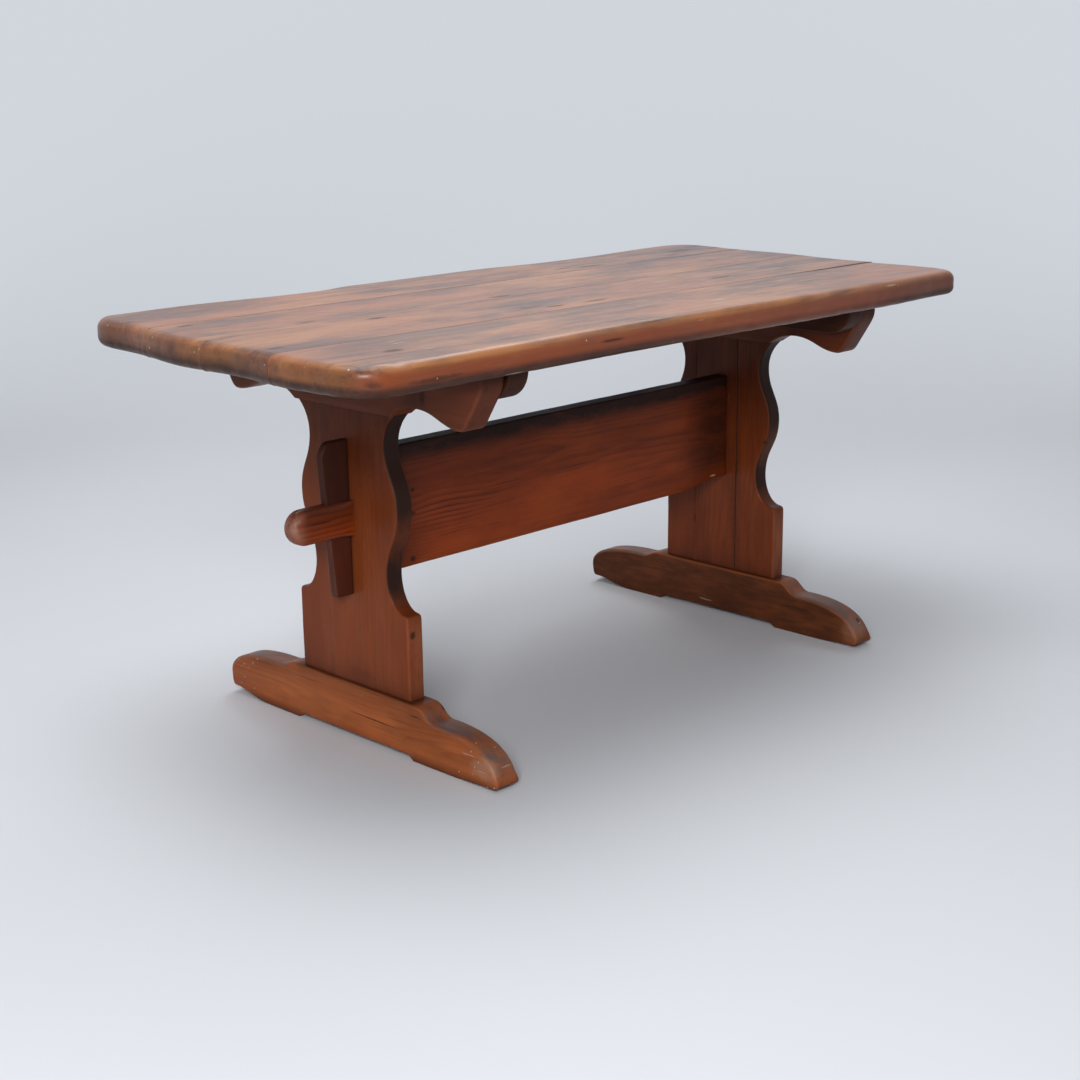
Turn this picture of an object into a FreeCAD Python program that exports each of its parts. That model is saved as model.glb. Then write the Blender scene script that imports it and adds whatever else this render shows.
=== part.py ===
import FreeCAD, Part
import Sketcher
import os
from types import SimpleNamespace

# Knock-down trestle table: a loose plank top on two scroll-cut trestles, held apart by a wedged stretcher.
# Millimetres. X runs along the top, Y across it towards the back, Z up from the floor under its centre.

Vector = FreeCAD.Vector
ALONG, ACROSS, UP = Vector(1, 0, 0), Vector(0, 1, 0), Vector(0, 0, 1)
LEFT, RIGHT = -1, 1

SIZES = (
    # Top
    ("table_height", 740),
    ("top_length", 1610),
    ("top_width", 800),
    ("top_thickness", 50),
    ("top_corner_radius", 84),
    ("top_edge_round", 20),
    ("top_wave_depth", 36),
    ("front_board_width", 225),
    ("back_board_width", 205),
    # Battens under the top and their screws
    ("batten_inset", 42),
    ("batten_width", 45),
    ("batten_depth", 50),
    ("batten_clearance", 1),
    ("screw_radius", 2.5),
    ("screw_length", 50),
    ("screw_head_radius", 5),
    ("screw_head_height", 3),
    ("screw_recess_radius", 7),
    ("screw_recess_depth", 20),
    ("screw_clearance", 0.2),
    # Pegs that keep the loose top in place
    ("peg_radius", 8),
    ("peg_length", 40),
    ("peg_rise", 18),
    ("peg_spacing", 500),
    ("peg_fit_clearance", 0.1),
    ("peg_socket_clearance", 1),
    # Uprights
    ("trestle_span", 1040),
    ("upright_thickness", 36),
    ("block_width", 292),
    ("block_round", 8),
    ("neck_width", 196),
    ("belly_width", 260),
    ("waist_width", 202),
    ("upright_front_seam", 44),
    ("upright_back_seam", 65),
    ("upright_arris_round", 4),
    ("stub_thickness", 20),
    ("stub_shoulder", 26),
    ("foot_stub_length", 55),
    ("bearer_stub_length", 50),
    # Bearers
    ("bearer_length", 700),
    ("bearer_thickness", 52),
    ("bearer_depth", 97),
    ("bearer_seat_depth", 93),
    ("bearer_arch_depth", 73),
    ("bearer_arris_round", 5),
    # Feet
    ("foot_length", 734),
    ("foot_thickness", 52),
    ("foot_height", 103),
    ("front_toe_lift", 4),
    ("back_toe_lift", 14),
    ("front_nose_height", 10),
    ("back_nose_height", 28),
    ("relief_length", 316),
    ("relief_height", 9),
    ("relief_ramp", 12),
    ("foot_arris_round", 7),
    # Stretcher and wedges
    ("stretcher_height", 224),
    ("stretcher_thickness", 36),
    ("stretcher_gap", 80),
    ("stretcher_end_lift", 12),
    ("stretcher_lift_length", 190),
    ("stretcher_arris_round", 3),
    ("tenon_height", 62),
    ("tenon_reach", 130),
    ("tenon_arris_round", 8),
    ("joint_clearance", 0.4),
    ("wedge_height", 276),
    ("wedge_drop", 138),
    ("wedge_top_width", 60),
    ("wedge_bottom_width", 39),
    ("wedge_thickness", 17),
    ("wedge_corner_clip", 14),
    ("wedge_corner_drop", 20),
    ("wedge_arris_round", 3),
    ("wedge_draw", 4),
    ("cut_overrun", 5),
)

# Places along each side of the top as shares of its run between corners, each with a share of the wave depth.
back_wave_shares = (
    (-0.5, 0.10), (-0.41, 0), (-0.206, 0.80), (-0.13, 0.30), (0.06, 0.30), (0.26, 0.80), (0.5, 0.30),
)
far_wave_shares = ((0.5, 0), (0.32, 0.40), (0.16, 0.33), (-0.18, 0.95), (-0.28, 0.90), (-0.5, 0.85))
front_wave_shares = ((0.5, 0.15), (0.35, 0), (-0.13, 0.35), (-0.34, 0.20), (-0.5, 0.10))
near_wave_shares = ((-0.5, 0.05), (-0.37, 0), (-0.10, 0.30), (0.06, 0.25), (0.5, 1))

# How far a curve holds its end directions: in a wave, and in a round corner.
ease_share = 0.45
corner_share = 0.5523

# Place of a round end's middle, as a share of its radius.
diagonal_share = 0.5 ** 0.5

# Heights of an upright's turning points, as shares of its height between foot and bearer.
shoulder_share, neck_share, belly_share, waist_share = 0.306, 0.431, 0.670, 0.885

# Bearer outline beyond the upright: shares of its half length, and of its depth below the top.
arch_share = 0.543
tip_shares, tip_pull_shares = (0.849, 1), (0.870, 1)
nose_shares, nose_pull_shares = (0.891, 0.866), (0.880, 0.935)
slant_shares, slant_pull_shares = (0.971, 0.412), (0.990, 0.310)
brow_shares, brow_pull_shares = (1, 0.100), (1, 0.220)

# Foot outline: shares of its half length, and of its height.
# Each toe has shares for its cove, the pull on its top and the pull on its front; the back toes are blunt.
pad_share, contact_share, toe_share = 0.452, 0.681, 0.967
front_toe_shares = (0.578, 0.777), (0.800, 0.820), (0.965, 0.630)
back_toe_shares = (0.578, 0.885), (0.810, 0.905), (1, 0.760)

doc = FreeCAD.newDocument("trestle_table")
sheet = doc.addObject("Spreadsheet::Sheet", "Sizes")
for row, (alias, value) in enumerate(SIZES, start=1):
    sheet.set(f"A{row}", alias)
    sheet.set(f"B{row}", str(value))
    sheet.setAlias(f"B{row}", alias)
doc.recompute()
mm = SimpleNamespace(**{alias: float(sheet.get(alias)) for alias, value in SIZES})

# Levels and places that several pieces share.
top_underside = mm.table_height - mm.top_thickness
seat_level = top_underside - mm.bearer_seat_depth
upright_height = seat_level - mm.foot_height
arch_level = top_underside - mm.bearer_arch_depth
waist_level = mm.foot_height + upright_height * waist_share
stretcher_level = seat_level - mm.stretcher_gap - mm.stretcher_height
tenon_level = stretcher_level + mm.stretcher_height / 2
wedge_level = tenon_level - mm.wedge_drop
upright_face = mm.trestle_span / 2
trestle_middle = upright_face - mm.upright_thickness / 2
batten_middle = trestle_middle - mm.bearer_thickness / 2 - mm.batten_clearance - mm.batten_width / 2
front_edge, back_edge = -mm.top_width / 2, mm.top_width / 2
front_seam = front_edge + mm.front_board_width
back_seam = back_edge - mm.back_board_width
middle_seam = (front_seam + back_seam) / 2
board_edges = (front_edge, front_seam, middle_seam, back_seam, back_edge)
screw_places = [(low + high) / 2 for low, high in zip(board_edges, board_edges[1:])]
peg_places = (-mm.peg_spacing / 2, mm.peg_spacing / 2)
screw_seat = top_underside - mm.batten_depth + mm.screw_recess_depth
side_names = {LEFT: "left", RIGHT: "right"}

nodes = []


def node(item, name):
    """Name a finished sub-part, which makes it one of the files written at the end."""
    item.Label = name
    nodes.append(item)


def placed(item, place, turn=FreeCAD.Rotation()):
    """Set an object's place and turn."""
    item.Placement = FreeCAD.Placement(place, turn)
    return item


def primitive(kind, name, place, **cells):
    """Add a primitive whose sizes are bound to the sheet."""
    item = doc.addObject("Part::" + kind, name)
    for size_name, cell in cells.items():
        item.setExpression(size_name, cell)
    return placed(item, place)


def group(kind, name, pieces):
    """Add a fuse or a common of several objects."""
    item = doc.addObject("Part::" + kind, name)
    item.Shapes = pieces
    return item


def compound(name, pieces):
    """Add a group of solids that stay separate."""
    item = doc.addObject("Part::Compound", name)
    item.Links = pieces
    return item


def cut(name, base, tools):
    """Add an object with others cut out of it."""
    item = doc.addObject("Part::Cut", name)
    item.Base = base
    item.Tool = compound(name + "_tools", tools)
    return item


def cubic(start, first_pull, second_pull, end):
    """Curved edge between two points, with a pull for each."""
    curve = Part.BezierCurve()
    curve.setPoles([start, first_pull, second_pull, end])
    return curve.toShape()


def ease(start, end, heading):
    """S-shaped edge that leaves and arrives along one heading."""
    reach = heading * ((end - start).dot(heading) * ease_share)
    return cubic(start, start + reach, end - reach, end)


def corner(start, end, heading):
    """Rounded edge that leaves along a heading and arrives square to it."""
    leaving = heading * (end - start).dot(heading)
    arriving = end - start - leaving
    return cubic(start, start + leaving * corner_share, end - arriving * corner_share, end)


def run(points):
    """Straight edges through a row of points."""
    return [Part.makeLine(start, end) for start, end in zip(points, points[1:])]


def outlined_face(edges):
    """Flat face inside a closed ring of edges, given in any order."""
    return Part.Face(Part.Wire(Part.__sortEdges__(edges)))


def plank(name, edges, heading, thickness_cell, place):
    """Board with the given outline, its thickness spread evenly to both sides of its middle."""
    outline = doc.addObject("Part::Feature", name + "_outline")
    outline.Shape = outlined_face(edges)
    item = doc.addObject("Part::Extrusion", name)
    item.Base = outline
    item.DirMode = "Custom"
    item.Dir = heading
    item.Solid = True
    item.Symmetric = True
    item.setExpression("LengthFwd", thickness_cell)
    return placed(item, place)


def softened(board, heading, radius, chosen=lambda spot: True):
    """Round the arrises on a board's two flat sides, square to its heading, whose middles pass a test."""
    doc.recompute()
    item = doc.addObject("Part::Fillet", board.Name + "_softened")
    item.Base = board
    item.Edges = [
        (number, radius, radius)
        for number, edge in enumerate(board.Shape.Edges, start=1)
        if edge.tangentAt(edge.FirstParameter).cross(heading).Length > diagonal_share
        and chosen(edge.CenterOfMass)
    ]
    return item


def sketched_body(name, plane_role):
    """Body with an empty sketch on one of its own origin planes."""
    body = doc.addObject("PartDesign::Body", name)
    sketch = body.newObject("Sketcher::SketchObject", name + "_sketch")
    plane = next(item for item in body.Origin.OriginFeatures if item.Role == plane_role)
    sketch.AttachmentSupport = [(plane, "")]
    sketch.MapMode = "FlatFace"
    return body, sketch


def bind(sketch, name, cell, *terms):
    """Add a named dimension to a sketch and bind it to the sheet."""
    index = sketch.addConstraint(Sketcher.Constraint(*terms))
    sketch.renameConstraint(index, name)
    sketch.setExpression("Constraints." + name, cell)


def pad(body, sketch, thickness_cell):
    """Pad a body's sketch evenly to both sides."""
    item = body.newObject("PartDesign::Pad", body.Name + "_pad")
    item.Profile = sketch
    item.SideType = "Symmetric"
    item.setExpression("Length", thickness_cell)


def wavy_side(shares, side_run, heading, place):
    """Edges of one worn side of the top, with its first and last points."""
    points = [place(share * side_run, worn * mm.top_wave_depth) for share, worn in shares]
    edges = [ease(start, end, heading) for start, end in zip(points, points[1:])]
    return edges, points[0], points[-1]


def top_edges():
    """Ring of the top's outline: four wavy sides from the back round, and the corners between them."""
    half_length, half_width = mm.top_length / 2, mm.top_width / 2
    long_run = mm.top_length - 2 * mm.top_corner_radius
    short_run = mm.top_width - 2 * mm.top_corner_radius

    def back(place, worn):
        return Vector(place, half_width - worn, top_underside)

    def far(place, worn):
        return Vector(half_length - worn, place, top_underside)

    def front(place, worn):
        return Vector(place, worn - half_width, top_underside)

    def near(place, worn):
        return Vector(worn - half_length, place, top_underside)

    sides = (
        wavy_side(back_wave_shares, long_run, ALONG, back),
        wavy_side(far_wave_shares, short_run, ACROSS, far),
        wavy_side(front_wave_shares, long_run, ALONG, front),
        wavy_side(near_wave_shares, short_run, ACROSS, near),
    )
    edges = []
    for index, (side, first, last) in enumerate(sides):
        next_first = sides[(index + 1) % len(sides)][1]
        edges += side
        edges.append(corner(last, next_first, (ALONG, ACROSS)[index % 2]))
    return edges


def build_top():
    """Four planks with one worn, rounded outline, bored for the batten screws and the pegs."""
    solid = outlined_face(top_edges()).extrude(UP * mm.top_thickness)
    level_edges = [edge for edge in solid.Edges if edge.BoundBox.ZLength < mm.top_edge_round]
    blank = doc.addObject("Part::Feature", "top_blank")
    blank.Shape = solid.makeFillet(mm.top_edge_round, level_edges)

    bores = []
    hole_start = top_underside - mm.cut_overrun
    for side in (LEFT, RIGHT):
        for index, place in enumerate(screw_places):
            bores.append(primitive(
                "Cylinder", f"{side_names[side]}_screw_bore_{index}",
                Vector(side * batten_middle, place, hole_start),
                Radius="Sizes.screw_radius + Sizes.screw_clearance",
                Height="Sizes.screw_length - Sizes.batten_depth + Sizes.screw_recess_depth"
                       " + Sizes.screw_clearance + Sizes.cut_overrun"))
        for index, place in enumerate(peg_places):
            bores.append(primitive(
                "Cylinder", f"{side_names[side]}_peg_bore_{index}",
                Vector(side * trestle_middle, place, hole_start),
                Radius="Sizes.peg_radius + Sizes.peg_socket_clearance",
                Height="Sizes.peg_rise + Sizes.peg_socket_clearance + Sizes.cut_overrun"))
    bored = cut("top_bored", blank, bores)

    names = ("top_front_board", "top_inner_front_board", "top_inner_back_board", "top_back_board")
    inner_width = "(Sizes.top_width - Sizes.front_board_width - Sizes.back_board_width) / 2"
    width_cells = ("Sizes.front_board_width", inner_width, inner_width, "Sizes.back_board_width")
    for name, low, width_cell in zip(names, board_edges, width_cells):
        slot = primitive(
            "Box", name + "_slot", Vector(-mm.top_length / 2, low, top_underside),
            Length="Sizes.top_length", Width=width_cell, Height="Sizes.top_thickness")
        node(group("MultiCommon", name, [bored, slot]), name)


def build_batten(side):
    """Batten under the top with quarter-round ends and recessed holes for its screws."""
    name = side_names[side] + "_batten"
    body, sketch = sketched_body(name + "_body", "YZ_Plane")
    half, depth = mm.top_width / 2 - mm.batten_inset, mm.batten_depth
    flat = half - depth
    top = sketch.addGeometry(Part.LineSegment(Vector(-half, 0, 0), Vector(half, 0, 0)))
    base = sketch.addGeometry(Part.LineSegment(Vector(-flat, -depth, 0), Vector(flat, -depth, 0)))
    for end_name, end, line_end in (("front", -1, 1), ("back", 1, 2)):
        tip, foot = Vector(end * half, 0, 0), Vector(end * flat, -depth, 0)
        bend = Vector(end * (flat + depth * diagonal_share), -depth * diagonal_share, 0)
        arc = sketch.addGeometry(Part.Arc(tip, bend, foot))
        tip_end, foot_end = (1, 2) if end < 0 else (2, 1)
        sketch.addConstraint(Sketcher.Constraint("Coincident", arc, tip_end, top, line_end))
        sketch.addConstraint(Sketcher.Constraint("Tangent", arc, foot_end, base, line_end))
        sketch.addConstraint(Sketcher.Constraint("PointOnObject", arc, 3, top))
        bind(sketch, end_name + "_round", "Sizes.batten_depth", "Radius", arc, depth)
    sketch.addConstraint(Sketcher.Constraint("Symmetric", top, 1, top, 2, -1, 1))
    sketch.addConstraint(Sketcher.Constraint("Horizontal", top))
    length_cell = "Sizes.top_width - 2 * Sizes.batten_inset"
    bind(sketch, "length", length_cell, "DistanceX", top, 1, top, 2, 2 * half)
    pad(body, sketch, "Sizes.batten_width")
    placed(body, Vector(side * batten_middle, 0, top_underside))

    holes = []
    for index, place in enumerate(screw_places):
        bottom = Vector(side * batten_middle, place, top_underside - mm.batten_depth - mm.cut_overrun)
        holes.append(primitive(
            "Cylinder", f"{name}_recess_{index}", bottom, Radius="Sizes.screw_recess_radius",
            Height="Sizes.screw_recess_depth + Sizes.cut_overrun"))
        holes.append(primitive(
            "Cylinder", f"{name}_hole_{index}", bottom, Radius="Sizes.screw_radius + Sizes.screw_clearance",
            Height="Sizes.batten_depth + 2 * Sizes.cut_overrun"))
    node(cut(name, body, holes), name)


def build_screws(side):
    """Group of flat-headed wood screws, one through the batten into each plank."""
    name = side_names[side] + "_batten_screws"
    screws = []
    for index, place in enumerate(screw_places):
        seat = Vector(side * batten_middle, place, screw_seat)
        head = primitive(
            "Cylinder", f"{name}_head_{index}", seat - UP * mm.screw_head_height,
            Radius="Sizes.screw_head_radius", Height="Sizes.screw_head_height")
        shank = primitive(
            "Cylinder", f"{name}_shank_{index}", seat - UP * mm.screw_head_height,
            Radius="Sizes.screw_radius",
            Height="Sizes.screw_head_height + Sizes.screw_length - 2 * Sizes.screw_radius")
        point = primitive(
            "Cone", f"{name}_point_{index}", seat + UP * (mm.screw_length - 2 * mm.screw_radius),
            Radius1="Sizes.screw_radius", Radius2="0 mm", Height="2 * Sizes.screw_radius")
        screws.append(group("MultiFuse", f"{name}_{index}", [head, shank, point]))
    node(compound(name, screws), name)


def build_pegs(side):
    """Group of round pegs, driven into the bearer and standing up into the top."""
    name = side_names[side] + "_top_pegs"
    bottom = top_underside + mm.peg_rise - mm.peg_length
    pegs = [
        primitive("Cylinder", f"{name}_{index}", Vector(side * trestle_middle, place, bottom),
                  Radius="Sizes.peg_radius", Height="Sizes.peg_length")
        for index, place in enumerate(peg_places)
    ]
    node(compound(name, pegs), name)


def upright_edges():
    """Ring of an upright's outline, carried up past its joint with the bearer to the bearer's arch."""
    def level(share):
        return mm.foot_height + upright_height * share

    edges = []
    for side in (-1, 1):
        def point(width, height):
            return Vector(0, side * width / 2, height)

        sole = point(mm.block_width, mm.foot_height)
        ear = point(mm.block_width, level(shoulder_share) - mm.block_round)
        shoulder = point(mm.block_width - 2 * mm.block_round, level(shoulder_share))
        neck = point(mm.neck_width, level(neck_share))
        belly = point(mm.belly_width, level(belly_share))
        waist = point(mm.waist_width, waist_level)
        arch = point(mm.bearer_length * arch_share, arch_level)
        edges += run([point(0, mm.foot_height), sole, ear])
        edges += [
            corner(ear, shoulder, UP),
            corner(shoulder, neck, ACROSS),
            ease(neck, belly, UP),
            ease(belly, waist, UP),
            corner(waist, arch, UP),
        ]
        edges += run([arch, point(0, arch_level)])
    return edges


def stub_bar(name, place, width_cell, height_cell):
    """Bar that becomes the stub tenons of an upright's boards, or their mortise."""
    return primitive("Box", name, place, Length="Sizes.stub_thickness", Width=width_cell, Height=height_cell)


def build_upright(side):
    """Scroll-cut upright of three boards, with stub tenons and the stretcher's mortise."""
    name = side_names[side] + "_upright"
    middle = side * trestle_middle
    board = plank(name + "_scroll", upright_edges(), ALONG, "Sizes.upright_thickness", Vector(middle, 0, 0))
    shape = softened(board, ALONG, mm.upright_arris_round, lambda spot: mm.foot_height < spot.z < arch_level)
    height_cell = "Sizes.table_height - Sizes.top_thickness - Sizes.bearer_seat_depth - Sizes.foot_height"
    low_side = middle - mm.upright_thickness / 2
    span = primitive(
        "Box", name + "_span", Vector(low_side, -mm.bearer_length / 2, mm.foot_height),
        Length="Sizes.upright_thickness", Width="Sizes.bearer_length", Height=height_cell)
    trimmed = group("MultiCommon", name + "_trimmed", [shape, span])

    bar_start = middle - mm.stub_thickness / 2
    foot_stub = stub_bar(
        name + "_foot_stub",
        Vector(bar_start, mm.stub_shoulder - mm.block_width / 2, mm.foot_height - mm.foot_stub_length),
        "Sizes.block_width - 2 * Sizes.stub_shoulder", "Sizes.foot_stub_length + Sizes.cut_overrun")
    bearer_stub = stub_bar(
        name + "_bearer_stub", Vector(bar_start, -mm.waist_width / 2, seat_level - mm.cut_overrun),
        "Sizes.waist_width", "Sizes.bearer_stub_length + Sizes.cut_overrun")
    whole = group("MultiFuse", name + "_whole", [trimmed, foot_stub, bearer_stub])

    mortise = primitive(
        "Box", name + "_mortise",
        Vector(low_side - mm.cut_overrun,
               -mm.stretcher_thickness / 2 - mm.joint_clearance,
               tenon_level - mm.tenon_height / 2 - mm.joint_clearance),
        Length="Sizes.upright_thickness + 2 * Sizes.cut_overrun",
        Width="Sizes.stretcher_thickness + 2 * Sizes.joint_clearance",
        Height="Sizes.tenon_height + 2 * Sizes.joint_clearance")
    pierced = cut(name + "_pierced", whole, [mortise])

    boards = (
        ("front", -mm.upright_front_seam - mm.bearer_length, "Sizes.bearer_length"),
        ("middle", -mm.upright_front_seam, "Sizes.upright_front_seam + Sizes.upright_back_seam"),
        ("back", mm.upright_back_seam, "Sizes.bearer_length"),
    )
    for board, low, width_cell in boards:
        board_name = f"{name}_{board}_board"
        slot = primitive(
            "Box", board_name + "_slot", Vector(low_side, low, 0),
            Length="Sizes.upright_thickness", Width=width_cell, Height="Sizes.table_height")
        node(group("MultiCommon", board_name, [pierced, slot]), board_name)


def bearer_edges():
    """Ring of a bearer's outline, carried down past its joint with the upright to the upright's waist."""
    half_length = mm.bearer_length / 2
    edges = []
    for side in (-1, 1):
        def point(length_share, depth_share):
            return Vector(0, side * half_length * length_share, top_underside - mm.bearer_depth * depth_share)

        waist = Vector(0, side * mm.waist_width / 2, waist_level)
        arch = Vector(0, side * half_length * arch_share, arch_level)
        tip, nose = point(*tip_shares), point(*nose_shares)
        slant, brow = point(*slant_shares), point(*brow_shares)
        edges += run([Vector(0, 0, waist_level), waist])
        edges += [
            corner(waist, arch, UP),
            ease(arch, tip, ACROSS),
            cubic(tip, point(*tip_pull_shares), point(*nose_pull_shares), nose),
            cubic(slant, point(*slant_pull_shares), point(*brow_pull_shares), brow),
        ]
        edges += run([nose, slant])
        edges += run([brow, point(1, 0), point(0, 0)])
    return edges


def build_bearer(side):
    """Bearer with pointed ends on top of an upright, with sockets for its pegs."""
    name = side_names[side] + "_bearer"
    middle = side * trestle_middle
    board = plank(name + "_scroll", bearer_edges(), ALONG, "Sizes.bearer_thickness", Vector(middle, 0, 0))
    shape = softened(board, ALONG, mm.bearer_arris_round, lambda spot: waist_level < spot.z < top_underside)
    under_seat = primitive(
        "Box", name + "_under_seat",
        Vector(middle - mm.bearer_thickness / 2, -mm.bearer_length * arch_share / 2, 0),
        Length="Sizes.bearer_thickness", Width=f"Sizes.bearer_length * {arch_share}",
        Height="Sizes.table_height - Sizes.top_thickness - Sizes.bearer_seat_depth")
    mortise = stub_bar(
        name + "_mortise",
        Vector(middle - mm.stub_thickness / 2,
               -mm.waist_width / 2 - mm.joint_clearance,
               seat_level - mm.cut_overrun),
        "Sizes.waist_width + 2 * Sizes.joint_clearance",
        "Sizes.bearer_stub_length + Sizes.joint_clearance + Sizes.cut_overrun")
    tools = [under_seat, mortise]
    for index, place in enumerate(peg_places):
        tools.append(primitive(
            "Cylinder", f"{name}_socket_{index}",
            Vector(middle, place, top_underside + mm.peg_rise - mm.peg_length),
            Radius="Sizes.peg_radius + Sizes.peg_fit_clearance", Height="Sizes.peg_length"))
    node(cut(name, shape, tools), name)


def foot_edges():
    """Ring of a foot's outline: level pad, coved toes, and a relief under the middle."""
    half_length = mm.foot_length / 2
    edges = []
    toes = (
        (-1, mm.front_toe_lift, mm.front_nose_height, front_toe_shares),
        (1, mm.back_toe_lift, mm.back_nose_height, back_toe_shares),
    )
    for side, lift, nose_height, shares in toes:
        def point(length_share, height_share):
            return Vector(0, side * half_length * length_share, mm.foot_height * height_share)

        def low_point(length, height):
            return Vector(0, side * length, height)

        pad_end = point(pad_share, 1)
        cove, top_pull, front_pull = [point(*pair) for pair in shares]
        nose = low_point(half_length, lift + nose_height)
        toe = low_point(half_length * toe_share, lift)
        contact = low_point(half_length * contact_share, 0)
        relief_end = low_point(mm.relief_length / 2, 0)
        relief_top = low_point(mm.relief_length / 2 - mm.relief_ramp, mm.relief_height)
        edges += run([point(0, 1), pad_end])
        edges += [
            ease(pad_end, cove, ACROSS),
            cubic(cove, top_pull, front_pull, nose),
            corner(nose, toe, UP),
            ease(toe, contact, ACROSS),
        ]
        edges += run([contact, relief_end, relief_top, low_point(0, mm.relief_height)])
    return edges


def build_foot(side):
    """Foot under an upright, with the mortise for its stub tenons."""
    name = side_names[side] + "_foot"
    middle = side * trestle_middle
    board = plank(name + "_scroll", foot_edges(), ALONG, "Sizes.foot_thickness", Vector(middle, 0, 0))
    shape = softened(board, ALONG, mm.foot_arris_round, lambda spot: spot.z > mm.relief_height)
    mortise = stub_bar(
        name + "_mortise",
        Vector(middle - mm.stub_thickness / 2,
               mm.stub_shoulder - mm.block_width / 2 - mm.joint_clearance,
               mm.foot_height - mm.foot_stub_length - mm.joint_clearance),
        "Sizes.block_width - 2 * Sizes.stub_shoulder + 2 * Sizes.joint_clearance",
        "Sizes.foot_stub_length + Sizes.joint_clearance + Sizes.cut_overrun")
    node(cut(name, shape, [mortise]), name)


def wedge_width(level):
    """Width of a seated wedge at a level above the floor."""
    share = (level - wedge_level) / (mm.wedge_height - mm.wedge_corner_drop)
    return mm.wedge_bottom_width + (mm.wedge_top_width - mm.wedge_bottom_width) * share


def stretcher_edges():
    """Ring of the stretcher's outline: a deep board with a square tenon through each upright."""
    shoulder = upright_face - mm.upright_thickness
    low, high = stretcher_level, stretcher_level + mm.stretcher_height
    tenon_low, tenon_high = tenon_level - mm.tenon_height / 2, tenon_level + mm.tenon_height / 2
    lift_start = Vector(shoulder - mm.stretcher_lift_length, 0, low)
    lift_end = Vector(shoulder, 0, low + mm.stretcher_end_lift)
    left_end = Vector(-shoulder, 0, low)
    edges = [ease(lift_start, lift_end, ALONG)]
    edges += run([Vector(-shoulder, 0, high), Vector(shoulder, 0, high)])
    edges += run([left_end, lift_start])
    for side, lower_end in ((LEFT, left_end), (RIGHT, lift_end)):
        edges += run([
            Vector(side * shoulder, 0, high),
            Vector(side * shoulder, 0, tenon_high),
            Vector(side * upright_face, 0, tenon_high),
            Vector(side * upright_face, 0, tenon_low),
            Vector(side * shoulder, 0, tenon_low),
            lower_end,
        ])
    return edges


def tenon_nose_edges(side):
    """Ring of the round-ended part of a tenon that stands out past the upright."""
    tip = upright_face + mm.tenon_reach
    round_start = tip - mm.tenon_height / 2

    def point(place, rise):
        return Vector(side * place, 0, tenon_level + rise * mm.tenon_height / 2)

    round_high, round_low = point(round_start, 1), point(round_start, -1)
    edges = run([round_low, point(upright_face, -1), point(upright_face, 1), round_high])
    edges.append(Part.Arc(round_high, point(tip, 0), round_low).toShape())
    return edges


def wedge_slot_edges(side):
    """Ring of the slot that a wedge passes through, along the wedge's own taper."""
    low = tenon_level - mm.tenon_height / 2 - mm.cut_overrun
    high = tenon_level + mm.tenon_height / 2 + mm.cut_overrun
    inner = upright_face - mm.wedge_draw
    ring = [
        Vector(side * inner, 0, low),
        Vector(side * (upright_face + wedge_width(low)), 0, low),
        Vector(side * (upright_face + wedge_width(high)), 0, high),
        Vector(side * inner, 0, high),
    ]
    return run(ring + ring[:1])


def build_stretcher():
    """Stretcher between the uprights, with its tenons slotted for the wedges."""
    thickness_cell = "Sizes.stretcher_thickness"
    board = plank("stretcher_board", stretcher_edges(), ACROSS, thickness_cell, Vector())
    tenon_high = tenon_level + mm.tenon_height
    pieces = [softened(board, ACROSS, mm.stretcher_arris_round, lambda spot: spot.z > tenon_high)]
    for side in (LEFT, RIGHT):
        nose_name = side_names[side] + "_tenon_nose"
        nose = plank(nose_name, tenon_nose_edges(side), ACROSS, thickness_cell, Vector())
        rounded = softened(nose, ACROSS, mm.tenon_arris_round, lambda spot: abs(spot.x) > upright_face)
        pieces.append(rounded)
    shape = group("MultiFuse", "stretcher_whole", pieces)
    slots = [
        plank(f"{side_names[side]}_wedge_slot", wedge_slot_edges(side), ACROSS,
              "Sizes.wedge_thickness + 2 * Sizes.joint_clearance", Vector())
        for side in (LEFT, RIGHT)
    ]
    node(cut("stretcher", shape, slots), "stretcher")


def build_wedge(side):
    """Loose tapered wedge, wide end up, with its outer top corner clipped."""
    name = side_names[side] + "_wedge"
    body, sketch = sketched_body(name + "_body", "XZ_Plane")
    corners = (
        Vector(0, 0, 0),
        Vector(-mm.wedge_bottom_width, 0, 0),
        Vector(-mm.wedge_top_width, mm.wedge_height - mm.wedge_corner_drop, 0),
        Vector(mm.wedge_corner_clip - mm.wedge_top_width, mm.wedge_height, 0),
        Vector(0, mm.wedge_height, 0),
    )
    ends = corners[1:] + corners[:1]
    ring = [sketch.addGeometry(Part.LineSegment(start, end)) for start, end in zip(corners, ends)]
    for first, second in zip(ring, ring[1:] + ring[:1]):
        sketch.addConstraint(Sketcher.Constraint("Coincident", first, 2, second, 1))
    base, slope, clip, top, face = ring
    sketch.addConstraint(Sketcher.Constraint("Coincident", base, 1, -1, 1))
    for level_edge in (base, top):
        sketch.addConstraint(Sketcher.Constraint("Horizontal", level_edge))
    sketch.addConstraint(Sketcher.Constraint("Vertical", face))
    for alias, direction, first, first_end, second, second_end in (
        ("wedge_bottom_width", "DistanceX", base, 2, base, 1),
        ("wedge_top_width", "DistanceX", slope, 2, base, 1),
        ("wedge_corner_clip", "DistanceX", clip, 1, clip, 2),
        ("wedge_corner_drop", "DistanceY", clip, 1, clip, 2),
        ("wedge_height", "DistanceY", face, 2, face, 1),
    ):
        terms = (direction, first, first_end, second, second_end, getattr(mm, alias))
        bind(sketch, alias, "Sizes." + alias, *terms)
    pad(body, sketch, "Sizes.wedge_thickness")
    turn = FreeCAD.Rotation(UP, 0 if side == LEFT else 180)
    placed(body, Vector(side * upright_face, 0, wedge_level), turn)
    node(softened(body, ACROSS, mm.wedge_arris_round), name)


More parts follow.
